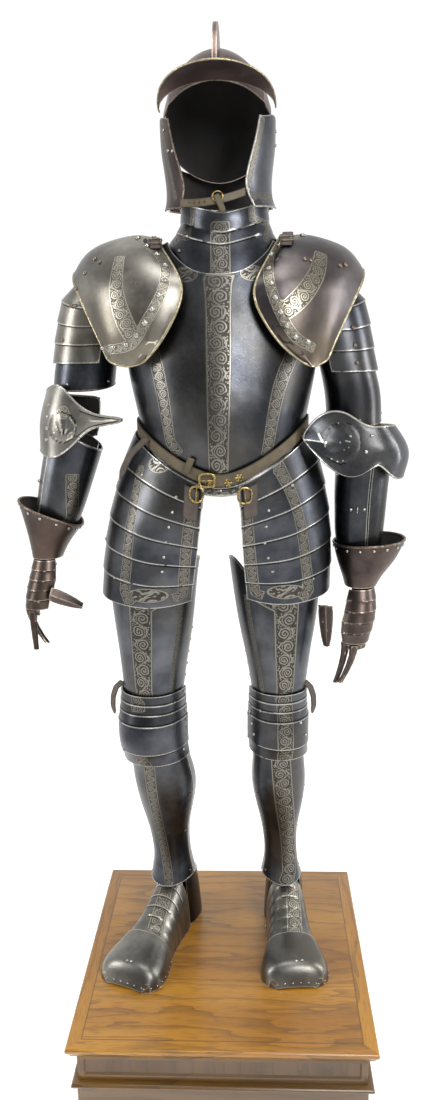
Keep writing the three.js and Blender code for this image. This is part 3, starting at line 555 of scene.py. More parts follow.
@dataclass(frozen=True)
class GoldenOak(Finish):
    """Flat-sawn oak, stained golden and varnished.

    The eye gets cathedral figure 20 to 60 mm wide, open pores drawn 1 to 2 mm wide, a border strip
    let in all round on the top board, and a soft varnish shine.
    """

    name: str = "varnished_golden_oak"
    light: str = "9a6c1e"
    mid: str = "805412"
    dark: str = "4e310a"
    grain: Grain = Grain.ACROSS
    border: float = 0.0  # half width inside the border strip, in metres; 0 for none

    def build(self, tree: bpy.types.NodeTree) -> dict[str, Given]:
        """Colour, shine and pores of the oak.

        Args:
            tree: the material's node tree.

        Returns:
            Inputs of the main shader by name.
        """
        place = add(tree, "TexCoord", out=None).outputs["Object"]
        axes = add(tree, "SeparateXYZ", place, out=None).outputs
        x, y, z = axes[0], axes[1], axes[2]
        if self.grain is Grain.UPRIGHT:
            both = add(tree, "Math", x, y, operation="ADD")
            long, cross = z, both
        else:
            long, cross = x, add(tree, "Math", y, z, operation="ADD")
        mark: Given = 0.0
        if self.border:
            ax = add(tree, "Math", x, operation="ABSOLUTE")
            ay = add(tree, "Math", y, operation="ABSOLUTE")
            sides = add(tree, "Math", ax, ay, operation="GREATER_THAN")
            outer = add(tree, "Math", ax, self.border, operation="GREATER_THAN")
            turned = add(tree, "Math", sides, outer, operation="MULTIPLY")
            long = add(tree, "MixRGB", turned, long, y)
            cross = add(tree, "MixRGB", turned, cross, x)
            most = add(tree, "Math", ax, ay, operation="MAXIMUM")
            groove = add(tree, "Math", most, self.border, operation="SUBTRACT")
            groove = add(tree, "Math", groove, operation="ABSOLUTE")
            mark = add(tree, "MapRange", groove, 0.0004, 0.0018, 0.7, 0.0)
        along = add(tree, "Math", long, 1.3, operation="MULTIPLY")
        over = add(tree, "Math", cross, 9.0, operation="MULTIPLY")
        sheet = add(tree, "CombineXYZ", along, over, 0.3)
        drift = add(tree, "TexNoise", sheet, None, 1.6, 3.0, 0.5)
        bent = add(tree, "Math", drift, 2.6, over, operation="MULTIPLY_ADD")
        rings = add(tree, "Math", bent, 2.4, operation="MULTIPLY")
        rings = add(tree, "Math", rings, operation="FRACT")
        late = add(tree, "MapRange", rings, 0.55, 1.0, 0.0, 1.0)
        tone = add(tree, "TexNoise", sheet, None, 0.9, 2.0)
        tone = add(tree, "MapRange", tone, 0.35, 0.65, 0.0, 1.0)
        colour = add(tree, "MixRGB", tone, linear(self.light), linear(self.mid))
        late = add(tree, "Math", late, 0.55, operation="MULTIPLY")
        colour = add(tree, "MixRGB", late, colour, linear(self.dark))
        pore_long = add(tree, "Math", long, 26.0, operation="MULTIPLY")
        pore_over = add(tree, "Math", cross, 640.0, operation="MULTIPLY")
        pores = add(tree, "CombineXYZ", pore_long, pore_over, 0.0)
        pores = add(tree, "TexNoise", pores, None, 1.0, 1.0)
        pores = add(tree, "MapRange", pores, 0.56, 0.68, 0.0, 0.55)
        colour = add(tree, "MixRGB", pores, colour, linear("4a2b10"))
        colour = add(tree, "MixRGB", mark, colour, linear("3f240d"))
        bump = add(tree, "Bump", named={"Strength": 0.25, "Distance": 0.0004, "Height": pores},
                   invert=True)
        gloss = add(tree, "MapRange", tone, 0.0, 1.0, 0.3, 0.42)
        return {"Base Color": colour, "Roughness": gloss, "Normal": bump,
                "Coat Weight": 0.35, "Coat Roughness": 0.18}


BLUED = PlateSteel()
RUSSET = PlateSteel(name="russet_plate_steel", plain="37302f", bloom="594f4c", tint="54463a",
                    tint_share=0.5, worn="a3978a", ground="2b2522", leaf="7d7368", gloss=0.33)
BOWL = PlateSteel(name="helmet_russet_steel", plain="4d403e", bloom="786762", tint="6a5548",
                  tint_share=0.5, worn="a89a8c", gloss=0.3)
# Lighter straw-coloured steel: its tone is partly the plates' own colour and partly a painted
# highlight where they catch the light.
STRAW_STEEL_AND_HIGHLIGHT = PlateSteel(name="straw_steel_and_painted_highlight", plain="615f5b", bloom="95928b", tint="6f6757",
                  tint_share=0.5, worn="cdc8ba", ground="5e5a52", leaf="a6a296", gloss=0.3)
PURPLED = PlateSteel(name="purple_brown_plate_steel", plain="454143", bloom="6d6766",
                     tint="5d513f", tint_share=0.6, worn="bdb5a5", ground="4a463f",
                     leaf="8f8a7c", gloss=0.3)
INSIDE_PAINT_AND_SHADE = BlackPaintAndShade()
BRASS = CastBrass()
BRIGHT = CastBrass(name="bright_rim_steel", bright="a9a7a1", dark="7b7872", gloss=0.26)
STRAW_RIM = CastBrass(name="straw_rim_steel", bright="a89e84", dark="7d735c", gloss=0.3)
BROWN_RIM = CastBrass(name="russet_rim_steel", bright="7d7064", dark="51463d", gloss=0.34)
LEATHER = StrapLeather()
DARK_LEATHER = StrapLeather(name="black_strap_leather", face="332b25", worn="453a30", edge="15110e")


# ---- What goes on a plate ------------------------------------------------------------------------
class Side(Enum):
    """A side of a plate's rim."""

    TOP = "top"
    BOTTOM = "bottom"
    RIGHT = "right"
    LEFT = "left"
    ALL = "all"


def curve(points: Sequence[tuple[float, ...]], count: int) -> list[tuple[float, ...]]:
    """Evenly spaced points of a smooth curve through a few guide points.

    Args:
        points: the guide points, of any number of values each.
        count: how many points to give back.

    Returns:
        The points of the curve.
    """
    guides = np.array(points, dtype=float)
    if len(guides) < 2:
        return [tuple(guides[0])]
    padded = np.vstack([2 * guides[0] - guides[1], guides, 2 * guides[-1] - guides[-2]])
    fine = []
    for i in range(1, len(guides)):
        before, a, b, after = padded[i - 1], padded[i], padded[i + 1], padded[i + 2]
        for t in np.linspace(0, 1, 16, endpoint=False):
            fine.append(a + 0.5 * t * (b - before + t * (2 * before - 5 * a + 4 * b - after
                                                         + t * (3 * (a - b) + after - before))))
    fine = np.array([*fine, guides[-1]])
    steps = np.append(0, np.cumsum(np.linalg.norm(np.diff(fine[:, :2], axis=0), axis=1)))
    spots = np.linspace(0, steps[-1], count)
    columns = [np.interp(spots, steps, fine[:, k]) for k in range(fine.shape[1])]
    return [tuple(row) for row in np.stack(columns, 1)]


@dataclass(frozen=True)
class Band:
    """An etched band along points given as shares of the plate's box, seen from the front.

    Each point is (across, up, half width in mm). With oval set there is one point, and the band is
    an oval of that half width and half height.
    """

    path: tuple[tuple[float, float, float], ...]
    oval: float = 0.0
    rear: bool = False

    def fine(self) -> list[tuple[float, ...]]:
        """The band's points with smooth ones between them."""
        return curve(self.path, 4 * len(self.path) - 3)


@dataclass(frozen=True)
class Rivets:
    """Domed rivets at places given as shares of the plate's box, seen from the front.

    With count set, the places guide a curve along which that many rivets are spaced evenly.
    """

    places: tuple[tuple[float, float], ...]
    count: int = 0
    radius: float = 4.6
    finish: Finish = BRIGHT
    rear: bool = False


@dataclass(frozen=True)
class Row:
    """A row of rivets along one side of the rim."""

    side: Side
    inset: float = 9.0
    pitch: float = 24.0
    radius: float = 3.2
    finish: Finish = BRIGHT
    start: float = 0.04
    end: float = 0.96


@dataclass(frozen=True)
class Roll:
    """A rolled or turned edge along one side of the rim."""

    side: Side
    radius: float = 2.4
    finish: Finish = BRIGHT
    start: float = 0.0
    end: float = 1.0


class RivetStock:
    """The domed rivet, modelled once and copied."""

    def __init__(self) -> None:
        """Makes the rivet with a unit radius at the origin."""
        only(*[frame["nodes"]["belt"]])
        bpy.ops.object.select_all(action="DESELECT")
        bpy.ops.mesh.primitive_uv_sphere_add(segments=10, ring_count=6, radius=1.0)
        self.piece = bpy.context.object
        bpy.ops.object.mode_set(mode="EDIT")
        bpy.ops.mesh.select_all(action="SELECT")
        bpy.ops.mesh.bisect(plane_co=(0, 0, -0.15), plane_no=(0, 0, 1), use_fill=True,
                            clear_inner=True)
        bpy.ops.mesh.select_all(action="SELECT")
        bpy.ops.transform.resize(value=(1, 1, 0.72))
        bpy.ops.object.mode_set(mode="OBJECT")
        bpy.ops.object.shade_smooth_by_angle(angle=math.radians(50))

    def place(self, at: Vector, out: Vector, radius: float) -> bpy.types.Object:
        """Puts a copy with its own mesh on a surface.

        Args:
            at: point on the surface.
            out: the surface's outward direction.
            radius: rivet radius in metres.

        Returns:
            The copy.
        """
        copy = self.piece.copy()
        copy.data = self.piece.data.copy()
        turn = out.to_track_quat("Z", "Y").to_matrix().to_4x4()
        copy.data.transform(Matrix.Translation(at) @ turn @ Matrix.Scale(radius, 4))
        bpy.context.scene.collection.objects.link(copy)
        return copy

    def discard(self) -> None:
        """Removes the model that the copies were made from."""
        bpy.data.objects.remove(self.piece)


def tube(name: str, line: Line, closed: bool, radius: float) -> bpy.types.Object:
    """A round bar along a line, as a closed mesh.

    Args:
        name: the piece's name.
        line: points of its centre.
        closed: whether it runs into itself.
        radius: radius in metres.

    Returns:
        The mesh object.
    """
    curve = bpy.data.curves.new(name, "CURVE")
    curve.dimensions = "3D"
    curve.bevel_depth, curve.bevel_resolution, curve.use_fill_caps = radius, 2, True
    spline = curve.splines.new("POLY")
    spline.points.add(len(line) - 1)
    for point, place in zip(spline.points, line):
        point.co = (*place, 1.0)
    spline.use_cyclic_u = closed
    piece = bpy.data.objects.new(name, curve)
    bpy.context.scene.collection.objects.link(piece)
    only(piece)
    bpy.ops.object.convert(target="MESH")
    piece = bpy.context.object
    bpy.ops.object.shade_smooth_by_angle(angle=math.radians(60))
    return piece


def resample(line: Line, closed: bool, start: float, end: float, count: int) -> list[Vector]:
    """Evenly spaced points along a line.

    Args:
        line: the line's points.
        closed: whether the last joins the first.
        start: share of the length where the points start.
        end: share where they end.
        count: how many points.

    Returns:
        The points.
    """
    points = line + [line[0]] if closed else line
    steps = [0.0]
    for a, b in zip(points, points[1:]):
        steps.append(steps[-1] + (b - a).length)
    spots = np.linspace(start * steps[-1], end * steps[-1], count, endpoint=not closed)
    arrays = np.array([list(p) for p in points])
    return [Vector([np.interp(s, steps, arrays[:, k]) for k in range(3)]) for s in spots]


STOCK = RivetStock()


@dataclass
class Plate:
    """One plate: a refined copy of its node with all that is fixed to it."""

    node: str
    finish: PlateSteel = BLUED
    slot: str = "blued_steel"
    bands: Sequence[Band] = ()
    rivets: Sequence[Rivets] = ()
    rows: Sequence[Row] = ()
    rolls: Sequence[Roll] = ()
    body: str = "suit"
    levels: int = 2
    hard: float = 50.0  # rim edges, in degrees
    step: float = 9.0  # narrow strips under this, in mm, are lame steps

    def copy_node(self) -> bpy.types.Object:
        """Copies the node and merges its loose triangles into quads.

        Returns:
            The copy, free of the frame.
        """
        only(frame["nodes"][self.node])
        bpy.ops.object.duplicate()
        piece = bpy.context.object
        bpy.ops.object.parent_clear(type="CLEAR_KEEP_TRANSFORM")
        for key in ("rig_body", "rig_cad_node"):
            if key in piece:
                del piece[key]
        piece.name = piece.data.name = self.node + "_plate"
        piece.data.materials.clear()
        bpy.ops.object.mode_set(mode="EDIT")
        bpy.ops.mesh.select_all(action="SELECT")
        bpy.ops.mesh.remove_doubles(threshold=1e-5)
        bpy.ops.mesh.customdata_custom_splitnormals_clear()
        bpy.ops.mesh.tris_convert_to_quads(face_threshold=math.radians(60),
                                           shape_threshold=math.radians(60))
        bpy.ops.object.mode_set(mode="OBJECT")
        return piece

    def crease(self, piece: bpy.types.Object) -> None:
        """Keeps rims and lame steps crisp while the rest is smoothed.

        Args:
            piece: the plate, still coarse.
        """
        mesh = piece.data
        work = bmesh.new()
        work.from_mesh(mesh)
        hard = set()
        for edge in work.edges:
            if len(edge.link_faces) == 2 and edge.calc_face_angle(0) > math.radians(self.hard):
                hard.add(edge.index)
        for face in work.faces:
            if len(face.edges) != 4:
                continue
            lengths = sorted(e.calc_length() for e in face.edges)
            if WALL_MM * MM < lengths[0] < self.step * MM and lengths[3] > 2.2 * lengths[0]:
                for edge in face.edges:
                    if edge.calc_length() > 1.6 * lengths[0]:
                        hard.add(edge.index)
        work.free()
        layer = mesh.attributes.get("crease_edge")
        if layer is None:
            layer = mesh.attributes.new("crease_edge", "FLOAT", "EDGE")
        for index in hard:
            layer.data[index].value = 1.0

    def walls(self, piece: bpy.types.Object) -> None:
        """Finds the outside and the inside of the wall, its rims and its edges.

        Args:
            piece: the refined plate.
        """
        mesh = piece.data
        work = bmesh.new()
        work.from_mesh(mesh)
        work.faces.ensure_lookup_table()
        limit = math.radians(WALL_TURN)
        owner = [-1] * len(work.faces)
        areas: list[float] = []
        for face in work.faces:
            if owner[face.index] >= 0:
                continue
            stack, total = [face], 0.0
            owner[face.index] = len(areas)
            while stack:
                here = stack.pop()
                total += here.calc_area()
                for edge in here.edges:
                    if len(edge.link_faces) != 2 or edge.calc_face_angle(0) > limit:
                        continue
                    for other in edge.link_faces:
                        if owner[other.index] < 0:
                            owner[other.index] = len(areas)
                            stack.append(other)
            areas.append(total)
        outer, inner = self.sort_walls(work, owner, areas)
        # The inside walls take the black finish, which is also painted shade.
        for polygon in mesh.polygons:
            polygon.material_index = 1 if owner[polygon.index] in inner else 0
        outside = [p.index for p in mesh.polygons if owner[p.index] in outer]
        edges, nooks, rim = [], [], []
        for edge in work.edges:
            if len(edge.link_faces) != 2:
                continue
            # Convex edges feed the rubbed wear, concave nooks the painted shade.
            angle = edge.calc_face_angle_signed(0)
            if abs(angle) > math.radians(WEAR_AND_SHADE_TURN):
                (edges if angle > 0 else nooks).extend(spots_along(edge))
            owners = {owner[f.index] for f in edge.link_faces}
            if owners & outer and not owners <= outer:
                rim.append((edge.verts[0].index, edge.verts[1].index))
        self.loops = self.chains(mesh, rim)
        work.free()
        lay_distance(mesh, "edge_mm", edges)
        lay_distance(mesh, "nook_mm", nooks)
        self.surface = surface_of(mesh, outside)

    @staticmethod
    def sort_walls(work: bmesh.types.BMesh, owner: list[int],
                   areas: list[float]) -> tuple[set[int], set[int]]:
        """Tells the outer regions from the inner ones.

        Args:
            work: the refined plate.
            owner: the region of each face.
            areas: the area of each region.

        Returns:
            The outer regions and the inner regions; rims are in neither.
        """
        bounds = [0.0] * len(areas)
        for edge in work.edges:
            both = {owner[f.index] for f in edge.link_faces}
            if len(both) == 2:
                for region in both:
                    bounds[region] += edge.calc_length()
        island = [-1] * len(work.faces)
        turned = [0.0] * len(areas)
        for face in work.faces:
            if island[face.index] >= 0:
                continue
            group, stack = [], [face]
            island[face.index] = face.index
            while stack:
                here = stack.pop()
                group.append((here, here.calc_area(), here.calc_center_median()))
                for edge in here.edges:
                    for other in edge.link_faces:
                        if island[other.index] < 0:
                            island[other.index] = face.index
                            stack.append(other)
            whole = sum(area for _, area, _ in group)
            middle = sum((spot * area for _, area, spot in group), Vector()) / whole
            for here, area, spot in group:
                turned[owner[here.index]] += area * here.normal.dot(spot - middle)
        wide = [areas[i] > RIM_MM * MM * bounds[i] for i in range(len(areas))]
        outer = {i for i, good in enumerate(wide) if good and turned[i] > 0}
        inner = {i for i, good in enumerate(wide) if good and turned[i] <= 0}
        return outer, inner

    @staticmethod
    def chains(mesh: bpy.types.Mesh, edges: list[tuple[int, int]]) -> list[Line]:
        """Joins rim edges into closed lines.

        Args:
            mesh: the plate's mesh.
            edges: pairs of vertex numbers.

        Returns:
            Lines of points, each closed on itself.
        """
        near: dict[int, list[int]] = {}
        for a, b in edges:
            near.setdefault(a, []).append(b)
            near.setdefault(b, []).append(a)
        lines, seen = [], set()
        for start in near:
            if start in seen:
                continue
            line, here = [start], start
            seen.add(start)
            while True:
                ahead = [n for n in near[here] if n not in seen]
                if not ahead:
                    break
                here = ahead[0]
                seen.add(here)
                line.append(here)
            if len(line) > 8:
                lines.append([mesh.vertices[i].co.copy() for i in line])
        return lines

    def side(self, side: Side) -> list[tuple[Line, bool]]:
        """The lines of one side of the rim.

        Args:
            side: which side.

        Returns:
            Lines, each with whether it is closed.
        """
        if side is Side.ALL:
            return [(line, True) for line in self.loops]
        parts: list[tuple[Line, bool]] = []
        for line in self.loops:
            count = len(line)
            turns = []
            for i in range(count):
                back = (line[i] - line[i - 1]).normalized()
                ahead = (line[(i + 1) % count] - line[i]).normalized()
                if back.dot(ahead) < math.cos(math.radians(CORNER_TURN)):
                    turns.append(i)
            if len(turns) < 2:
                parts.append((line, True))
                continue
            for a, b in zip(turns, turns[1:] + [turns[0] + count]):
                piece = [line[i % count] for i in range(a, b + 1)]
                if len(piece) > 3:
                    parts.append((piece, False))
        if len(parts) < 2:
            return parts

        def mean(part: tuple[Line, bool], axis: int) -> float:
            """Middle of a line along an axis."""
            return sum(p[axis] for p in part[0]) / len(part[0])

        axis = 2 if side in (Side.TOP, Side.BOTTOM) else 0
        chosen = max if side in (Side.TOP, Side.LEFT) else min
        if axis == 0 and len(parts) > 3:
            drop = [max(parts, key=lambda p: mean(p, 2)), min(parts, key=lambda p: mean(p, 2))]
            parts = [p for p in parts if p is not drop[0] and p is not drop[1]]
        return [chosen(parts, key=lambda p: mean(p, axis))]

    def touch(self, across: float, up: float, rear: bool = False) -> tuple[Vector, Vector]:
        """The point of the outside at shares of the plate's box, from the front or the back.

        Args:
            across: share of the box along X.
            up: share of the box along Z.
            rear: look from the back.

        Returns:
            The point and its outward direction.
        """
        middle = in_box(self.node, across, up)
        if rear:
            middle.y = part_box(self.node)[1].y
        ahead = Vector((0, -1 if rear else 1, 0))
        start = middle - ahead * 0.1
        spot, normal, _, _ = self.surface.ray_cast(start, ahead)
        if spot is None or normal.dot(ahead) > 0:
            spot, normal, _, _ = self.surface.find_nearest(middle)
        return spot, normal

    def etch(self, mesh: bpy.types.Mesh) -> None:
        """Lays the etched bands on as attributes.

        Args:
            mesh: the refined plate's mesh.
        """
        count = len(mesh.vertices)
        flat = np.zeros(count * 3)
        mesh.vertices.foreach_get("co", flat)
        verts = flat.reshape(-1, 3)
        best = np.full(count, 9.0)
        run = np.zeros(count)
        side = np.zeros(count)
        for band in self.bands:
            spots = [self.touch(a, u, band.rear) for a, u, _ in band.fine()]
            if band.oval:
                at, out = spots[0]
                right = Vector((0, 0, 1)).cross(out).normalized()
                over = out.cross(right).normalized()
                delta = verts - np.array(at)
                u = delta @ np.array(right) / (band.path[0][2] * MM)
                v = delta @ np.array(over) / (band.oval * MM)
                depth = np.hypot(u, v)
                here_side, here_run = u, v * band.oval / band.path[0][2]
            else:
                depth, here_run, here_side = self.along_band(verts, spots, band)
            closer = depth < best
            best = np.where(closer, depth, best)
            run = np.where(closer, here_run, run)
            side = np.where(closer, here_side, side)
        vector = np.stack([best, run, np.full(count, 1.0 if self.bands else 0.0)], 1)
        layer = mesh.attributes.new("etch", "FLOAT_VECTOR", "POINT")
        layer.data.foreach_set("vector", vector.astype(np.float32).ravel())
        layer = mesh.attributes.new("etch_side", "FLOAT", "POINT")
        layer.data.foreach_set("value", side.astype(np.float32))

    @staticmethod
    def along_band(verts: np.ndarray, spots: list[tuple[Vector, Vector]],
                   band: Band) -> tuple[np.ndarray, np.ndarray, np.ndarray]:
        """Distances of points from a band's middle line.

        Args:
            verts: the plate's points.
            spots: the band's points and outward directions.
            band: the band.

        Returns:
            Depth (1 at the band's edge), run and signed side, all in half widths.
        """
        count = len(verts)
        best = np.full(count, 1e9)
        depth, run, side = np.full(count, 9.0), np.zeros(count), np.zeros(count)
        total, last, path = 0.0, len(spots) - 2, band.fine()
        middle = sum(w for _, _, w in path) / len(path) * MM
        for i, ((a, na), (b, nb)) in enumerate(zip(spots, spots[1:])):
            length = (b - a).length
            ahead = np.array((b - a) / length)
            out = np.array((na + nb).normalized())
            over = np.cross(out, ahead)
            delta = verts - np.array(a)
            t = delta @ ahead / length
            held = np.clip(t, 0 if i else -9, 1 if i < last else 9)
            foot = np.array(a) + held[:, None] * ahead * length
            away = np.linalg.norm(verts - foot, axis=1)
            half = (path[i][2] + (path[i + 1][2] - path[i][2])
                    * np.clip(held, 0, 1)) * MM
            past = np.full(count, -1.0)
            if i == 0:
                past = np.maximum(past, -held * length)
            if i == last:
                past = np.maximum(past, (held - 1) * length)
            here = np.maximum(away / half, 1 + past / half)
            closer = away < best
            best = np.where(closer, away, best)
            depth = np.where(closer, here, depth)
            run = np.where(closer, (total + held * length) / middle, run)
            side = np.where(closer, (verts - foot) @ over / half, side)
            total += length
        return depth, run, side

    def shape(self, piece: bpy.types.Object) -> None:
        """Room for a plate of its own kind to change the refined mesh before it is dressed.

        Args:
            piece: the refined plate.
        """

    def build(self) -> bpy.types.Object:
        """Makes the plate and what is fixed to it.

        Returns:
            The plate's object.
        """
        piece = self.copy_node()
        self.crease(piece)
        smooth_by(piece, self.levels)
        layer = piece.data.attributes.get("crease_edge")
        if layer:
            piece.data.attributes.remove(layer)
        self.shape(piece)
        self.walls(piece)
        self.etch(piece.data)
        piece.data.materials.append(self.finish.make())
        piece.data.materials.append(INSIDE_PAINT_AND_SHADE.make())
        only(piece)
        bpy.ops.object.shade_smooth_by_angle(angle=math.radians(26))
        dress(piece, self.finish.make(), self.body, [self.node])
        self.fasten()
        return piece

    def fasten(self) -> None:
        """Adds the rolled rims and the rivets."""
        for number, roll in enumerate(self.rolls):
            bars = []
            for line, closed in self.side(roll.side):
                whole = closed and roll.start <= 0 and roll.end >= 1
                length = sum((b - a).length for a, b in zip(line, line[1:]))
                count = max(8, int(length / 0.008))
                points = resample(line, whole, roll.start, roll.end, count)
                points = [self.sunk(p, 0.8 * MM) for p in points]
                inner = range(count) if whole else range(1, count - 1)
                for _ in range(2):
                    eased = list(points)
                    for i in inner:
                        beside = points[i - 1] + points[(i + 1) % len(points)]
                        eased[i] = points[i] * 0.5 + beside * 0.25
                    points = eased
                bars.append(tube("bar", points, whole, roll.radius * MM))
            if bars:
                name = f"{self.node}_rim_{roll.side.value}{number}"
                dress(join(name, bars), roll.finish.make(), self.body)
        heads: dict[str, list[bpy.types.Object]] = {}
        finishes: dict[str, Finish] = {}
        for group in self.rivets:
            finishes[group.finish.name] = group.finish
            spread = curve(group.places, group.count) if group.count else group.places
            for across, up in spread:
                at, out = self.touch(across, up, group.rear)
                heads.setdefault(group.finish.name, []).append(
                    STOCK.place(at, out, group.radius * MM))
        for row in self.rows:
            finishes[row.finish.name] = row.finish
            for line, closed in self.side(row.side):
                length = sum((b - a).length for a, b in zip(line, line[1:]))
                count = max(2, round(length * (row.end - row.start) / (row.pitch * MM)))
                points = resample(line, False, row.start, row.end, count)
                for i, at in enumerate(points):
                    ahead = points[min(i + 1, count - 1)] - points[max(i - 1, 0)]
                    spot, out = self.inset(at, ahead.normalized(), row.inset * MM)
                    heads.setdefault(row.finish.name, []).append(
                        STOCK.place(spot, out, row.radius * MM))
        for name, copies in heads.items():
            dress(join(f"{self.node}_rivets_{name}", copies), finishes[name].make(),
                  self.body)

    def sunk(self, at: Vector, by: float) -> Vector:
        """A rim point moved into the wall's middle."""
        _, out, _, _ = self.surface.find_nearest(at)
        return at - out * by

    def inset(self, at: Vector, ahead: Vector, by: float) -> tuple[Vector, Vector]:
        """A point moved in from the rim over the outside.

        Args:
            at: rim point.
            ahead: direction of the rim.
            by: distance in metres.

        Returns:
            The point on the surface and its outward direction.
        """
        _, out, _, _ = self.surface.find_nearest(at)
        over = ahead.cross(out).normalized()
        choices = []
        for sign in (1, -1):
            aim = at + over * by * sign
            spot, normal, _, far = self.surface.find_nearest(aim)
            choices.append((far, spot, normal))
        _, spot, normal = min(choices, key=lambda c: c[0])
        return spot, normal


@dataclass
class Couter(Plate):
    """An elbow plate whose wing carries a raised shell."""

    boss: tuple[float, float] = (0.5, 0.6)
    reach: float = 30.0  # half width of the shell in mm
    height: float = 4.0
    flutes: int = 13
    root: tuple[float, float] = (0.0, -0.8)  # where the flutes start, in shares of the reach

    def shape(self, piece: bpy.types.Object) -> None:
        """Raises the shell, its flutes spreading from its lower point.

        Args:
            piece: the refined plate.
        """
        low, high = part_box(self.node)
        centre = in_box(self.node, *self.boss)
        for vertex in piece.data.vertices:
            if vertex.co.y > (low.y + high.y) / 2:
                continue
            u = (vertex.co.x - centre.x) / (self.reach * MM)
            v = (vertex.co.z - centre.z) / (self.reach * MM)
            r = math.hypot(u, v)
            if r >= 1:
                continue
            away = math.hypot(u - self.root[0], v - self.root[1])
            fan = math.atan2(u - self.root[0], v - self.root[1])
            wave = 0.5 + 0.5 * math.cos(fan * self.flutes)
            rise = (1 - r * r) ** 0.5 * (self.height + 1.1 * wave * min(1, 1.5 * away)) * MM
            vertex.co.y -= rise * 0.9


class Helmet:
    """Open burgonet: bowl and comb, peak on its pivots, cheek pieces, nape guard and chin strap."""

    def build(self) -> None:
        """Makes the helmet."""
        shared: dict[str, Any] = {"finish": RUSSET, "slot": "russet_steel"}
        Plate("helmet_skull", levels=3, finish=BOWL, slot="russet_steel").build()
        Plate("helmet_peak", body="peak", levels=3, rolls=[Roll(Side.TOP, 1.6, STRAW_RIM)],
              finish=BOWL, slot="russet_steel").build()
        Plate("cheek_piece_L", finish=BLUED, slot="russet_steel", levels=3,
              bands=[Band(((0.58, 0.93, 7), (0.36, 0.57, 7), (0.09, 0.2, 7))),
                     Band(((0.1, 0.08, 8), (0.53, 0.11, 8), (0.96, 0.15, 8)))],
              rivets=[Rivets(((0.12, 0.17), (0.2, 0.05), (0.98, 0.86), (0.97, 0.72)), 0, 3.2)],
              rolls=[Roll(Side.RIGHT, 1.9, BRIGHT), Roll(Side.BOTTOM, 1.9, BRIGHT)]).build()
        Plate("cheek_piece_R", levels=3,
              bands=[Band(((0.12, 0.95, 6), (0.3, 0.6, 6), (0.62, 0.1, 6)))],
              rivets=[Rivets(((0.22, 0.85), (0.38, 0.62), (0.02, 0.6)), 0, 3.2)],
              rolls=[Roll(Side.LEFT, 1.7, BROWN_RIM), Roll(Side.BOTTOM, 1.7, BROWN_RIM)],
              **shared).build()
        Plate("nape_guard", rolls=[Roll(Side.BOTTOM, 2.2, BROWN_RIM)],
              rows=[Row(Side.TOP, 8.0, 30.0, 3.2, BROWN_RIM)], **shared).build()
        Strap("chin_strap", LEATHER, holes=(0.14, 0.22, 0.3, 0.38)).build()
        self.chin_buckle()

    def chin_buckle(self) -> None:
        """The small buckle of the chin strap and the strap's hanging tongue."""
        at = in_box("chin_strap", 0.58, 0.5) - Vector((0, 2.2 * MM, 0))
        ring = loop_bar("chin_buckle_ring", at, 9 * MM, 8 * MM, 1.3 * MM)
        dress(ring, BRASS.make())
        points = [at + Vector((dx, dy, dz)) * MM for dx, dy, dz in
                  [(-3, -1, 3), (0, -2.5, -4), (4, -3.5, -12), (8, -2.5, -21), (10, -1, -28)]]
        tongue = ribbon("chin_strap_tongue", points, 11 * MM, 2 * MM, Vector((1, 0, 0.35)), True)
        dress(tongue, LEATHER.make())


def loop_bar(name: str, at: Vector, wide: float, tall: float, bar: float,
             square: float = 1.0, facing: Vector = Vector((0, -1, 0))) -> bpy.types.Object:
    """A closed ring of bar, such as a buckle, filed flat on its face.

    Args:
        name: piece name.
        at: its centre.
        wide: half width.
        tall: half height.
        bar: bar radius.
        square: 1 for an oval, less for a squarer ring.
        facing: the way its face looks.

    Returns:
        The ring.
    """
    bpy.ops.object.select_all(action="DESELECT")
    bpy.ops.mesh.primitive_torus_add(major_radius=1.0, minor_radius=bar / ((wide + tall) / 2),
                                     major_segments=28, minor_segments=8)
    ring = bpy.context.object
    for vertex in ring.data.vertices:
        angle = math.atan2(vertex.co.y, vertex.co.x)
        reach = math.hypot(vertex.co.x, vertex.co.y)
        c, s = math.cos(angle), math.sin(angle)
        x = math.copysign(abs(c) ** square, c) * reach * wide
        y = math.copysign(abs(s) ** square, s) * reach * tall
        vertex.co = (x, y, vertex.co.z * (wide + tall) / 2 * 0.8)
    turn = facing.to_track_quat("Z", "Y").to_matrix().to_4x4()
    ring.data.transform(Matrix.Translation(at) @ turn)
    ring.name = ring.data.name = name
    only(ring)
    bpy.ops.object.shade_smooth()
    return ring


def ribbon(name: str, points: Line, width: float, thick: float, over: Vector,
           pointed: bool = False) -> bpy.types.Object:
    """A strap laid along points: a grid shaped by hand, then given its thickness.

    Args:
        name: piece name.
        points: points of its middle.
        width: its width.
        thick: its thickness.
        over: the direction of its width.
        pointed: whether its far end is cut to a point.

    Returns:
        The strap.
    """
    bpy.ops.object.select_all(action="DESELECT")
    count = 4 * (len(points) - 1)
    bpy.ops.mesh.primitive_grid_add(x_subdivisions=4, y_subdivisions=count, size=2)
    piece = bpy.context.object
    line = resample(points, False, 0, 1, count + 1)
    across = over.normalized()
    for vertex in piece.data.vertices:
        row = round((vertex.co.y + 1) / 2 * count)
        share = row / count
        taper = min(1.0, (1 - share) * count / 3 + 0.25) if pointed else 1.0
        vertex.co = line[row] + across * vertex.co.x * width / 2 * taper
    piece.name = piece.data.name = name
    bpy.ops.object.mode_set(mode="EDIT")
    bpy.ops.mesh.select_all(action="SELECT")
    bpy.ops.mesh.normals_make_consistent(inside=False)
    bpy.ops.object.mode_set(mode="OBJECT")
    wall = piece.modifiers.new("wall", "SOLIDIFY")
    wall.thickness, wall.offset = thick, 0
    smooth_by(piece, 1)
    edge_distance(piece)
    bpy.ops.object.shade_smooth_by_angle(angle=math.radians(40))
    return piece


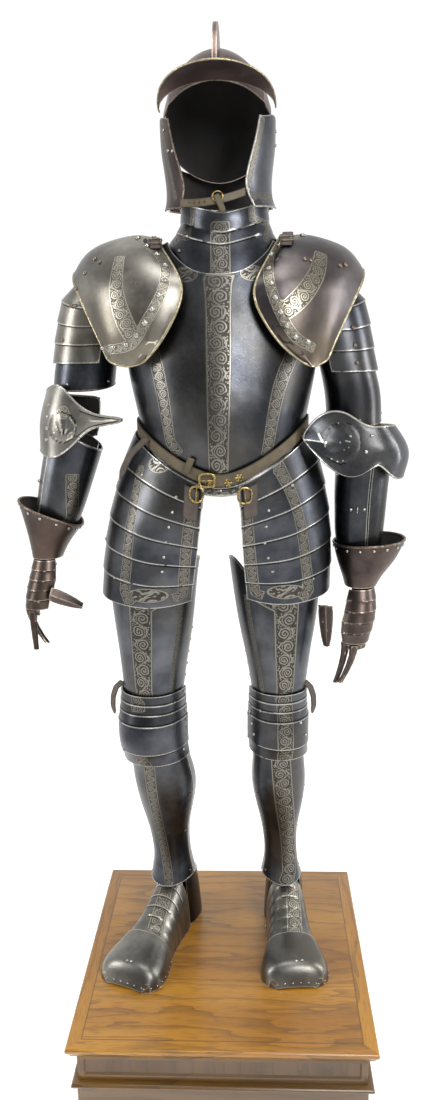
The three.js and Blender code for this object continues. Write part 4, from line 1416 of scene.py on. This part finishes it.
def edge_distance(piece: bpy.types.Object, angle: float = 40) -> None:
    """Lays on the distance to the nearest hard edge, in mm.

    Args:
        piece: a mesh object.
        angle: edges sharper than this, in degrees, count.
    """
    work = bmesh.new()
    work.from_mesh(piece.data)
    spots = []
    for edge in work.edges:
        if len(edge.link_faces) == 2 and edge.calc_face_angle(0) > math.radians(angle):
            spots.extend(spots_along(edge))
    work.free()
    lay_distance(piece.data, "edge_mm", spots)


@dataclass
class Strap:
    """A leather strap that stands for its node."""

    node: str
    finish: StrapLeather
    levels: int = 2
    holes: Sequence[float] = ()

    def build(self) -> bpy.types.Object:
        """Makes the strap, with a dark dome of painted shade in each punched hole.

        Returns:
            The strap.
        """
        piece = Plate(self.node).copy_node()
        piece.name = piece.data.name = self.node + "_leather"
        Plate(self.node).crease(piece)
        smooth_by(piece, self.levels)
        edge_distance(piece)
        bpy.ops.object.shade_smooth_by_angle(angle=math.radians(40))
        dress(piece, self.finish.make(), replaces=[self.node])
        low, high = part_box(self.node)
        surface = surface_of(piece.data)
        # The holes are not cut: a dark dome stands in each, as painted shade.
        hole_shade_domes = []
        for share in self.holes:
            aim = Vector((low.x + share * (high.x - low.x), low.y - 0.02, 0))
            best = None
            for k in range(40):
                aim.z = low.z + (k + 0.5) / 40 * (high.z - low.z)
                spot, out, _, _ = surface.ray_cast(aim, Vector((0, 1, 0)))
                if spot is not None:
                    best = [spot, spot, out] if best is None else [best[0], spot, out]
            if best:
                hole_shade_domes.append(STOCK.place((best[0] + best[1]) / 2, best[2], 1.5 * MM))
        if hole_shade_domes:
            dress(join(self.node + "_holes", hole_shade_domes), INSIDE_PAINT_AND_SHADE.make())
        return piece


class Cuirass:
    """Gorget, breastplate and backplate, fauld and culet."""

    def build(self) -> None:
        """Makes the body defences."""
        Plate("gorget_front", levels=2, step=12,
              bands=[Band(((0.5, 0.75, 18), (0.5, 0, 19))), Band(((0.1, 0.95, 7), (0.16, 0.5, 8))),
                     Band(((0.88, 0.95, 7), (0.84, 0.5, 8)))],
              rivets=[Rivets(((0.13, 0.86), (0.1, 0.72), (0.88, 0.86)), 0, 3.2),
                      Rivets(((0.19, 0.41),), 0, 4.2, BROWN_RIM)],
              rolls=[Roll(Side.TOP, 2.8), Roll(Side.BOTTOM, 2.4)]).build()
        Plate("gorget_back", levels=2, step=12, rolls=[Roll(Side.TOP, 2.8), Roll(Side.BOTTOM, 2.0)],
              bands=[Band(((0.5, 0.9, 18.0), (0.5, 0.0, 18.0)), rear=True)],
              rivets=[Rivets(((0.08, 0.8), (0.92, 0.8)), 0, 3.2, rear=True)]).build()
        Plate("breastplate", levels=3,
              bands=[Band(((0.5, 0.9, 31), (0.5, 0.75, 24), (0.5, 0.5, 23), (0.49, 0, 18))),
                     Band(((0.93, 0.64, 15), (0.8, 0.4, 15), (0.73, 0.1, 12))),
                     Band(((0.15, 0.64, 13), (0.21, 0.4, 15), (0.26, 0.1, 11))),
                     Band(((0.34, 0.86, 25),), oval=15), Band(((0.67, 0.86, 25),), oval=15)],
              rolls=[Roll(Side.TOP, 2.6)]).build()
        Plate("backplate", levels=3, rolls=[Roll(Side.TOP, 2.4), Roll(Side.BOTTOM, 2.0)],
              bands=[Band(((0.5, 1.0, 22.0), (0.5, 0.5, 20.0), (0.5, 0.0, 16.0)), rear=True),
                     Band(((0.16, 0.8, 13.0), (0.26, 0.4, 13.0), (0.34, 0.0, 11.0)), rear=True),
                     Band(((0.84, 0.8, 13.0), (0.74, 0.4, 13.0), (0.66, 0.0, 11.0)), rear=True)]
              ).build()
        Plate("fauld", levels=2, rolls=[Roll(Side.BOTTOM, 2.2)], step=12,
              bands=[Band(((0.5, 0.12, 34.0),), oval=16.0)],
              rows=[Row(Side.BOTTOM, 9, 42, 2.8)]).build()
        Plate("culet", levels=2, rolls=[Roll(Side.BOTTOM, 2.2)], step=12,
              rows=[Row(Side.BOTTOM, 9, 34, 2.8)]).build()
        self.shoulder_straps()

    def shoulder_straps(self) -> None:
        """The straps and buckles over the shoulders, between gorget and pauldrons."""
        scene, graph = bpy.context.scene, bpy.context.evaluated_depsgraph_get()
        middle = (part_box("gorget_front")[0].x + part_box("gorget_front")[1].x) / 2
        half = (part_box("gorget_front")[1].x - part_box("gorget_front")[0].x) / 2
        for tag, sign in (("R", -1), ("L", 1)):
            points = []
            for share, y in ((0.97, -0.066), (0.985, -0.048), (1.0, -0.028), (1.01, -0.008),
                             (1.02, 0.012), (1.03, 0.032)):
                x = middle + sign * half * share
                hit, spot, _, _, _, _ = scene.ray_cast(graph, Vector((x, y, 2.5)),
                                                       Vector((0, 0, -1)), distance=1.5)
                if hit:
                    points.append(spot + Vector((0, 0, 0.003)))
            if len(points) < 3:
                continue
            strap = ribbon("shoulder_strap_" + tag, points, 20 * MM, 2.6 * MM, Vector((1, 0, 0)))
            dress(strap, DARK_LEATHER.make())
            at = points[1] + Vector((0, -0.001, 0.003))
            ring = loop_bar("shoulder_buckle_" + tag, at, 12 * MM, 9 * MM, 1.6 * MM, 0.5,
                            Vector((0, -0.5, 0.85)))
            dress(ring, BROWN_RIM.make())


class BeltGear:
    """The waist belt with its buckle, keeper and studs, and the hanging tasset straps."""

    def build(self) -> None:
        """Makes the belt and all that hangs from it."""
        belt = Strap("belt", LEATHER, levels=3).build()
        self.buckle()
        surface = surface_of(belt.data)
        self.studs(surface)
        self.keeper(surface)
        for tag in ("R", "L"):
            self.hanger(tag)
        self.hip_strap()

    def buckle(self) -> None:
        """The rectangular brass buckle and its tongue."""
        low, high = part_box("belt_buckle")
        centre = (low + high) / 2
        frame_bar = loop_bar("belt_buckle_frame", centre, (high.x - low.x) / 2 - 1.6 * MM,
                             (high.z - low.z) / 2 - 1.6 * MM, 2.0 * MM, 0.45)
        dress(frame_bar, BRASS.make(), replaces=["belt_buckle"])
        y = low.y - 0.0008
        prong = [Vector((low.x + 0.004, y, centre.z)), Vector((centre.x, y - 0.0014, centre.z)),
                 Vector((high.x - 0.001, y, centre.z))]
        dress(tube("belt_buckle_tongue", prong, False, 1.5 * MM), BRASS.make())

    def studs(self, surface: BVHTree) -> None:
        """The brass rosettes under the belt's middle.

        Args:
            surface: the belt's surface.
        """
        spots = []
        for across, up in ((0.44, 0.1), (0.54, 0.1), (0.6, 0.17)):
            aim = in_box("belt", across, up) - Vector((0, 0.05, 0))
            spot, out, _, _ = surface.ray_cast(aim, Vector((0, 1, 0)))
            if spot is None:
                spot, out, _, _ = surface.find_nearest(aim)
            spots.append((spot, Vector((out.x, -abs(out.y) - 0.2, 0)).normalized()))
        parts = []
        for spot, out in spots:
            parts.append(STOCK.place(spot, out, 4.2 * MM))
            side = Vector((0, 0, 1)).cross(out).normalized()
            over = out.cross(side)
            for k in range(6):
                turn = math.radians(60 * k)
                petal = spot + (side * math.cos(turn) + over * math.sin(turn)) * 5.4 * MM
                parts.append(STOCK.place(petal, out, 2.4 * MM))
        dress(join("belt_rosettes", parts), BRASS.make())

    def keeper(self, surface: BVHTree) -> None:
        """The leather loop that holds the belt's tail.

        Args:
            surface: the belt's surface.
        """
        aim = in_box("belt", 0.3, 0.45) - Vector((0, 0.05, 0))
        spot, out, _, _ = surface.ray_cast(aim, Vector((0, 1, 0)))
        if spot is None:
            spot, out, _, _ = surface.find_nearest(aim)
            out = Vector((-0.2, -1, 0)).normalized()
        slope = Vector((0.42, 0, 1)).normalized()
        points = [spot + out * d * MM + slope * h * MM for d, h in
                  [(0.6, -14.5), (2.2, -13), (2.6, 0), (2.2, 13), (0.6, 14.5)]]
        side = slope.cross(out)
        loop = ribbon("belt_keeper", points, 14 * MM, 2 * MM, side)
        dress(loop, LEATHER.make())

    def hanger(self, tag: str) -> None:
        """A tasset strap and its oval ring buckle with tongue.

        Args:
            tag: R or L, the suit's side.
        """
        strap = Strap("tasset_strap_" + tag, DARK_LEATHER).build()
        share = (0.68, 0.74) if tag == "R" else (0.34, 0.66)
        aim = in_box("tasset_strap_" + tag, *share) - Vector((0, 0.03, 0))
        spot, out, _, _ = surface_of(strap.data).find_nearest(aim)
        out = Vector((out.x, -abs(out.y), out.z)).normalized()
        at = spot + out * 3.0 * MM
        ring = loop_bar(f"tasset_ring_{tag}", at, 12.5 * MM, 14.5 * MM, 2.0 * MM, 0.85, out)
        dress(ring, BRASS.make())
        tip = Vector((0.1 if tag == "R" else -0.1, 0, 1)).normalized()
        prong = [at - tip * 13 * MM, at + out * 1.5 * MM, at + tip * 13 * MM]
        dress(tube(f"tasset_ring_tongue_{tag}", prong, False, 1.2 * MM), BRASS.make())

    def hip_strap(self) -> None:
        """The black strap end that hangs at the suit's right hip."""
        low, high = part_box("belt")
        x = low.x + 0.012
        points = [Vector((x + dx, low.y + dy, high.z + dz)) for dx, dy, dz in
                  [(0.02, 0.058, -0.03), (0.004, 0.056, -0.045), (-0.012, 0.056, -0.06),
                   (-0.024, 0.058, -0.082), (-0.034, 0.06, -0.106)]]
        strap = ribbon("hip_strap", points, 14 * MM, 2.2 * MM, Vector((0.85, -0.3, -0.42)), True)
        dress(strap, DARK_LEATHER.make())


PAULDRON_BANDS = {
    "R": [Band(((0.47, 0.8, 10), (0.45, 0.55, 15), (0.52, 0.32, 18), (0.62, 0.17, 16))),
          Band(((0.56, 0.97, 9.5), (0.82, 0.77, 9.5), (0.85, 0.57, 9.5), (0.7, 0.32, 9.5),
                (0.56, 0.16, 9.5), (0.31, 0.12, 8)))],
    "L": [Band(((0.59, 0.82, 12), (0.54, 0.66, 16), (0.4, 0.49, 18), (0.21, 0.36, 16))),
          Band(((0.45, 0.97, 9.5), (0.2, 0.87, 9.5), (0.13, 0.69, 9.5), (0.19, 0.46, 9.5),
                (0.34, 0.23, 9.5), (0.52, 0.13, 8)))],
}
BORDER_RIVETS = {
    "R": Rivets(((0.6, 0.94), (0.86, 0.7), (0.75, 0.4), (0.55, 0.17), (0.3, 0.14)), 12, 5.2),
    "L": Rivets(((0.44, 0.96), (0.2, 0.86), (0.14, 0.7), (0.2, 0.46), (0.33, 0.24), (0.46, 0.18)),
                11, 5.2),
}
STRAP_RIVETS = {
    "R": Rivets(((0.24, 0.79), (0.29, 0.76), (0.15, 0.69), (0.06, 0.58)), 0, 4.4, BROWN_RIM),
    "L": Rivets(((0.75, 0.72), (0.8, 0.73), (0.54, 0.98), (0.6, 0.97)), 0, 4.4, BROWN_RIM),
}
LAME_RIVETS = {
    "R": Rivets(((0.39, 0.67), (0.45, 0.67), (0.24, 0.28)), 0, 4.2, BROWN_RIM),
    "L": Rivets(((0.59, 0.46), (0.66, 0.09)), 3, 4.2, BROWN_RIM),
}


@dataclass
class Arm:
    """Pauldron, cannons, couter and gauntlet of one arm."""

    tag: str

    def build(self) -> None:
        """Makes the arm from the shoulder down."""
        tag, right = self.tag, self.tag == "R"
        inner, outer = (Side.LEFT, Side.RIGHT) if right else (Side.RIGHT, Side.LEFT)
        # On the right arm the lighter steel is partly a painted highlight.
        Plate("pauldron_" + tag, levels=3, finish=STRAW_STEEL_AND_HIGHLIGHT if right else PURPLED,
              bands=PAULDRON_BANDS[tag], rivets=[BORDER_RIVETS[tag], STRAP_RIVETS[tag]],
              rolls=[Roll(Side.ALL, 2.7, STRAW_RIM)]).build()
        Plate("arm_lames_" + tag, finish=STRAW_STEEL_AND_HIGHLIGHT if right else BLUED, rolls=[Roll(Side.BOTTOM, 2.4)],
              rivets=[LAME_RIVETS[tag]]).build()
        Plate("upper_cannon_" + tag, levels=3, rolls=[Roll(Side.BOTTOM, 2.2, BROWN_RIM)],
              rows=[Row(Side.BOTTOM, 12, 70, 2.6)]).build()
        Couter("couter_" + tag, levels=3, finish=STRAW_STEEL_AND_HIGHLIGHT if right else BLUED, hard=60,
               boss=(0.34, 0.42) if right else (0.34, 0.55), reach=27 if right else 36,
               root=(0.0, -0.8) if right else (0.95, 0.0),
               bands=[Band(((0.36, 0.62, 13.0),), oval=13.0)] if right else [],
               rivets=[Rivets(((0.19, 0.72), (0.15, 0.25)), 4, 4.0) if right else
                       Rivets(((0.6, 0.63), (0.55, 0.42)), 0, 4.0)],
               rolls=[Roll(Side.ALL, 2.1)]).build()
        fore = ((0.61, 0.62, 14), (0.53, 0, 15)) if right else ()
        Plate("lower_cannon_inner_" + tag, levels=3, rolls=[Roll(Side.TOP, 2.2)],
              bands=[Band(fore)] if fore else []).build()
        Plate("lower_cannon_outer_" + tag, levels=3, rolls=[Roll(Side.TOP, 2.0)],
              bands=[Band(((0.54, 0.56, 14), (0.5, 0, 15)))] if right else []).build()
        self.catches()
        self.gauntlet(inner, outer)

    def catches(self) -> None:
        """The spring catches that close the lower cannon: a staple and two studs each."""
        node = "lower_cannon_outer_" + self.tag
        low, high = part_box(node)
        left = self.tag == "L"
        sides = 1 if left else -1
        parts = []
        for up in ((0.5, 0.04) if left else (0.53,)):
            z = low.z + up * (high.z - low.z)
            x = low.x - 0.002 if left else low.x + 0.25 * (high.x - low.x)
            y = low.y + 0.003 if left else low.y + 0.2 * (high.y - low.y)
            at = Vector((x, y - 0.004, z))
            staple = [at + Vector((0, 0, -0.006)), at + Vector((0, -0.005, -0.005)),
                      at + Vector((0, -0.005, 0.005)), at + Vector((0, 0, 0.006))]
            parts.append(tube("staple", staple, False, 1.3 * MM))
            for dx in (-0.012, 0.014):
                spot = at + Vector((dx * sides, 0.0022, 0))
                parts.append(STOCK.place(spot, Vector((0.15 * dx / 0.014, -1, 0)), 3.4 * MM))
        dress(join("cannon_catches_" + self.tag, parts), BRIGHT.make())

    def gauntlet(self, inner: Side, outer: Side) -> None:
        """The gauntlet: flared cuff, lames of the hand, scaled fingers and thumb.

        Args:
            inner: the rim side towards the body.
            outer: the rim side away from it.
        """
        tag = self.tag
        shared: dict[str, Any] = {"finish": RUSSET, "slot": "russet_steel"}
        Plate("gauntlet_cuff_" + tag, levels=3, rolls=[Roll(Side.TOP, 2.4, BROWN_RIM)],
              rows=[Row(Side.TOP, 9, 26, 3.4, BRIGHT)], **shared).build()
        Plate("gauntlet_hand_" + tag, levels=2,
              rows=[Row(inner, 8, 16, 3.0, BRIGHT), Row(outer, 8, 18, 2.6, BROWN_RIM)],
              **shared).build()
        Plate("gauntlet_fingers_" + tag, levels=2, step=2.4, **shared).build()
        Plate("gauntlet_thumb_" + tag, levels=3, rolls=[Roll(Side.ALL, 1.4, BROWN_RIM)],
              rivets=[Rivets(((0.3, 0.6), (0.6, 0.4)), 0, 2.4, BROWN_RIM)], **shared).build()


TASSET_BANDS = {
    "R": [Band(((0.46, 0.84, 10), (0.34, 0.45, 12), (0.25, 0, 12))),
          Band(((0.9, 0.66, 11), (0.82, 0.3, 11), (0.77, 0, 11))),
          Band(((0.62, 0.85, 25),), oval=16), Band(((0.48, 0.085, 42),), oval=16)],
    "L": [Band(((0.34, 0.89, 15), (0.55, 0.64, 12), (0.65, 0.4, 12), (0.73, 0, 12))),
          Band(((0.07, 0.6, 10), (0.11, 0.26, 11), (0.16, 0, 11))),
          Band(((0.47, 0.085, 38),), oval=16)],
}
TASSET_RIVETS = {
    "R": [Rivets(((0.77, 0.68), (0.68, 0.46), (0.62, 0.24)), 6, 3.0),
          Rivets(((0.47, 0.79), (0.14, 0.52), (0.07, 0.37), (0.18, 0.18)), 0, 3.0)],
    "L": [Rivets(((0.29, 0.59), (0.25, 0.4), (0.33, 0.22)), 5, 3.0),
          Rivets(((0.53, 0.72), (0.89, 0.68), (0.76, 0.15)), 0, 3.0)],
}


@dataclass
class Leg:
    """Tasset, cuisse, poleyn, greave and sabaton of one leg."""

    tag: str

    def build(self) -> None:
        """Makes the leg from the hip down."""
        tag, right = self.tag, self.tag == "R"
        inner, outer = (Side.LEFT, Side.RIGHT) if right else (Side.RIGHT, Side.LEFT)
        Plate("tasset_" + tag, levels=3, bands=TASSET_BANDS[tag], step=11,
              rivets=TASSET_RIVETS[tag],
              rolls=[Roll(Side.BOTTOM, 2.8), Roll(inner, 1.8)],
              rows=[Row(outer, 10, 34, 3.0)]).build()
        Plate("cuisse_" + tag, levels=3,
              bands=[Band(((0.37, 1, 27), (0.37, 0.5, 24), (0.37, 0, 17))),
                     Band(((0.97, 0.7, 7), (0.88, 0.38, 7), (0.78, 0, 5)))] if right else
                    [Band(((0.64, 1, 30), (0.62, 0.48, 24), (0.61, 0, 17))),
                     Band(((0.04, 0.75, 7), (0.22, 0, 6)))],
              rolls=[Roll(Side.TOP, 2.4), Roll(inner, 1.8)],
              rows=[Row(inner, 8, 22, 3.2, BROWN_RIM, 0.5, 0.96)]).build()
        Plate("poleyn_" + tag, levels=2, step=12, finish=BLUED,
              bands=[Band(((0.33, 1.02, 16), (0.34, 0.79, 16))),
                     Band(((0.36, 0.2, 13), (0.38, -0.1, 15)))] if right else
                    [Band(((0.6, 1.02, 18), (0.61, -0.1, 17)))],
              rivets=[Rivets(((0.96, 0.68), (0.97, 0.42)), 3, 3.4),
                      Rivets(((0.92, 0.14), (0.1, 0.2), (0.94, 0.95)), 0, 3.4)] if right else
                     [Rivets(((0.02, 0.78), (0.11, 0.34)), 4, 3.4),
                      Rivets(((0.99, 0.61), (0.92, 0.36)), 0, 3.4)],
              rows=[Row(Side.RIGHT, 7, 26, 3.0), Row(Side.LEFT, 7, 26, 3.0)]).build()
        shin = (((0.34, 0.98, 14), (0.36, 0.7, 13), (0.44, 0.4, 12), (0.56, 0, 10)) if right else
                ((0.5, 1, 22), (0.56, 0.7, 22), (0.68, 0.3, 20), (0.7, 0, 18)))
        Plate("greave_front_" + tag, levels=2, bands=[Band(shin)], rolls=[Roll(Side.BOTTOM, 1.8)],
              rows=[Row(inner, 9, 80, 3.0, BROWN_RIM), Row(outer, 9, 80, 3.0, BROWN_RIM)]).build()
        Plate("greave_back_" + tag, levels=2,
              bands=[Band(((0.5, 1.0, 12.0), (0.5, 0.5, 12.0), (0.5, 0.0, 9.0)), rear=True)]
              ).build()
        foot = (((0.66, 0.9, 15), (0.54, 0.57, 17), (0.46, 0.4, 17)) if right else
                ((0.57, 0.9, 18), (0.56, 0.42, 17)))
        # The sabatons take the lighter steel, partly a painted highlight.
        Plate("sabaton_lames_" + tag, levels=3, finish=STRAW_STEEL_AND_HIGHLIGHT, bands=[Band(foot)],
              rivets=[Rivets(((0.48, 0.52), (0.54, 0.52)) if right else
                             ((0.53, 0.54), (0.67, 0.53)), 0, 3.4)],
              rows=[Row(Side.RIGHT, 8, 14, 2.2), Row(Side.LEFT, 8, 14, 2.2)]).build()
        Plate("sabaton_toe_" + tag, levels=3, finish=STRAW_STEEL_AND_HIGHLIGHT,
              rivets=[Rivets(((0.41, 0.71), (0.47, 0.71)) if right else
                             ((0.52, 0.72), (0.6, 0.72)), 0, 3.4)],
              rows=[Row(Side.RIGHT, 8, 14, 2.2), Row(Side.LEFT, 8, 14, 2.2)]).build()
        Plate("sabaton_heel_" + tag, levels=2, rolls=[Roll(Side.TOP, 1.6)]).build()
        self.knee_strap(1 if tag == "L" else -1)

    def knee_strap(self, outward: int) -> None:
        """The strap tab beside the knee.

        Args:
            outward: 1 where the outer side is at +X, -1 where it is at -X.
        """
        low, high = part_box("poleyn_" + self.tag)
        x = high.x if outward > 0 else low.x
        y = low.y + 0.55 * (high.y - low.y)
        points = [Vector((x + outward * dx, y + dy, high.z + dz)) for dx, dy, dz in
                  [(-0.012, 0.008, 0.012), (0.002, 0.004, 0.0), (0.008, 0.0, -0.018),
                   (0.009, -0.003, -0.038), (0.006, -0.005, -0.056)]]
        strap = ribbon("knee_strap_" + self.tag, points, 15 * MM, 2.2 * MM,
                       Vector((outward * 0.8, 0.6, 0.2)), True)
        dress(strap, DARK_LEATHER.make())


class Plinth:
    """The oak plinth: moulded top board with a border strip, panelled carcass and base moulding."""

    rail: float = 0.012  # width of the frame round each panel
    bevel: float = 0.003  # width of the slope down to the panel
    sunk: float = 0.004  # depth of the panel under its frame
    strip: float = 0.028  # width of the top board's border

    def build(self) -> None:
        """Makes the three courses."""
        half = (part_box("plinth_top")[1].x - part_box("plinth_top")[0].x) / 2
        oak = GoldenOak(name="oak_top_board", border=half - self.strip)
        frame_oak = GoldenOak(name="oak_rails", light="65481c", mid="503710", dark="342208")
        panel_oak = GoldenOak(name="oak_panels", light="60441d", mid="4b3312", dark="2f1e0a",
                              grain=Grain.UPRIGHT)
        for node, finish in (("plinth_top", oak), ("plinth_base", frame_oak)):
            piece = self.course(node)
            piece.data.materials.append(finish.make())
            soften(piece, 1.2 * MM)
            dress(piece, finish.make(), replaces=[node])
        carcass = self.course("plinth_carcass")
        carcass.data.materials.append(frame_oak.make())
        carcass.data.materials.append(panel_oak.make())
        only(carcass)
        bpy.ops.object.mode_set(mode="EDIT")
        bpy.ops.mesh.select_all(action="DESELECT")
        bpy.ops.object.mode_set(mode="OBJECT")
        for face in carcass.data.polygons:
            face.select = abs(face.normal.z) < 0.5
        bpy.ops.object.mode_set(mode="EDIT")
        bpy.ops.mesh.select_mode(type="FACE")
        bpy.ops.mesh.inset(thickness=self.rail, depth=0, use_individual=True)
        bpy.ops.mesh.inset(thickness=self.bevel, depth=-self.sunk, use_individual=True)
        bpy.ops.object.mode_set(mode="OBJECT")
        for face in carcass.data.polygons:
            face.material_index = 1 if face.select else 0
        soften(carcass, 0.8 * MM, 2, 25)
        dress(carcass, frame_oak.make(), replaces=["plinth_carcass"])

    def course(self, node: str) -> bpy.types.Object:
        """A copy of one course with its triangles merged.

        Args:
            node: the course's node.

        Returns:
            The copy.
        """
        piece = Plate(node).copy_node()
        piece.name = piece.data.name = node + "_oak"
        only(piece)
        bpy.ops.object.mode_set(mode="EDIT")
        bpy.ops.mesh.select_all(action="SELECT")
        bpy.ops.mesh.dissolve_limited(angle_limit=math.radians(1))
        bpy.ops.object.mode_set(mode="OBJECT")
        return piece


class Studio:
    """The camera, the pale floor and the soft lights."""

    eye: Vector = Vector((0.0746, -1.7216, 1.4605))
    yaw: float = -0.0472
    pitch: float = 0.2290
    roll: float = -0.0194
    lens: float = 29.07

    def camera(self) -> None:
        """Sets the camera up at standing height in front of the suit."""
        data = bpy.data.cameras.new("view_camera")
        data.lens, data.sensor_width = self.lens, 36
        camera = bpy.data.objects.new("view_camera", data)
        bpy.context.scene.collection.objects.link(camera)
        ahead = Vector((math.sin(self.yaw) * math.cos(self.pitch),
                        math.cos(self.yaw) * math.cos(self.pitch), -math.sin(self.pitch)))
        right = Vector((math.cos(self.yaw), -math.sin(self.yaw), 0))
        over = right.cross(ahead)
        tilted = right * math.cos(self.roll) + over * math.sin(self.roll)
        upright = over * math.cos(self.roll) - right * math.sin(self.roll)
        pose = Matrix((tilted, upright, -ahead)).transposed().to_4x4()
        pose.translation = self.eye
        camera.matrix_world = pose
        bpy.context.scene.camera = camera

    def floor(self) -> None:
        """A plain pale floor under the plinth."""
        low, _ = CAD_BOX
        bpy.ops.object.select_all(action="DESELECT")
        bpy.ops.mesh.primitive_plane_add(size=14, location=(0, 0, low.z - 0.0005))
        floor = bpy.context.object
        floor.name = "studio_floor"
        material = bpy.data.materials.new("matt_white_floor")
        material.use_nodes = True
        tree = material.node_tree
        place = add(tree, "TexCoord", out=None).outputs["Object"]
        mottle = add(tree, "TexNoise", place, None, 2.0)
        colour = add(tree, "MixRGB", mottle, linear("f2f2f0"), linear("eceae6"))
        shader = tree.nodes["Principled BSDF"]
        tree.links.new(colour, shader.inputs["Base Color"])
        shader.inputs["Roughness"].default_value = 0.9
        shader.inputs["Emission Color"].default_value = (1.0, 1.0, 1.0, 1.0)
        shader.inputs["Emission Strength"].default_value = 0.42
        floor.data.materials.append(material)

    def lamp(self, name: str, at: tuple, size: tuple, power: float, aim: tuple) -> None:
        """A soft rectangular light.

        Args:
            name: its name.
            at: where it stands, in metres.
            size: width and height.
            power: watts.
            aim: the point that it faces.
        """
        data = bpy.data.lights.new(name, "AREA")
        data.shape, data.size, data.size_y, data.energy = "RECTANGLE", size[0], size[1], power
        lamp = bpy.data.objects.new(name, data)
        lamp.location = at
        lamp.rotation_euler = (Vector(aim) - Vector(at)).to_track_quat("-Z", "Y").to_euler()
        bpy.context.scene.collection.objects.link(lamp)

    def lights(self) -> None:
        """A white wall behind, a dimmer room in front, a window light and lights at both sides."""
        world = bpy.data.worlds.new("white_room")
        bpy.context.scene.world = world
        world.use_nodes = True
        tree = world.node_tree
        back = tree.nodes["Background"]
        axes = add(tree, "SeparateXYZ", add(tree, "TexCoord", out=None).outputs["Generated"],
                   out=None).outputs
        bright = add(tree, "MapRange", axes[1], -0.35, 0.6, 0.3, 1.06)
        back.inputs["Color"].default_value = (1.0, 1.0, 1.0, 1.0)
        tree.links.new(bright, back.inputs["Strength"])
        bpy.context.scene.view_settings.view_transform = "Standard"
        self.lamp("front_window", (1.3, -2.6, 2.5), (0.9, 1.5), 90, (0.05, 0, 1.2))
        self.lamp("side_window_right", (-2.4, -0.9, 1.9), (0.6, 1.8), 46, (0, 0, 1.1))
        self.lamp("side_window_left", (2.5, -0.2, 1.7), (0.5, 1.8), 40, (0, 0, 1.0))
        self.lamp("ceiling", (0.0, -0.6, 3.6), (1.6, 1.6), 45, (0, 0, 1.0))

    def build(self) -> None:
        """Makes the whole studio."""
        self.camera()
        self.floor()
        self.lights()


def main() -> None:
    """Builds the suit from the head down, then the plinth."""
    logging.basicConfig(level=logging.INFO, format="%(name)s: %(message)s")
    Studio().build()
    Helmet().build()
    Cuirass().build()
    BeltGear().build()
    for tag in ("R", "L"):
        Arm(tag).build()
        Leg(tag).build()
    Plinth().build()
    STOCK.discard()


if __name__ == "__main__":
    main()
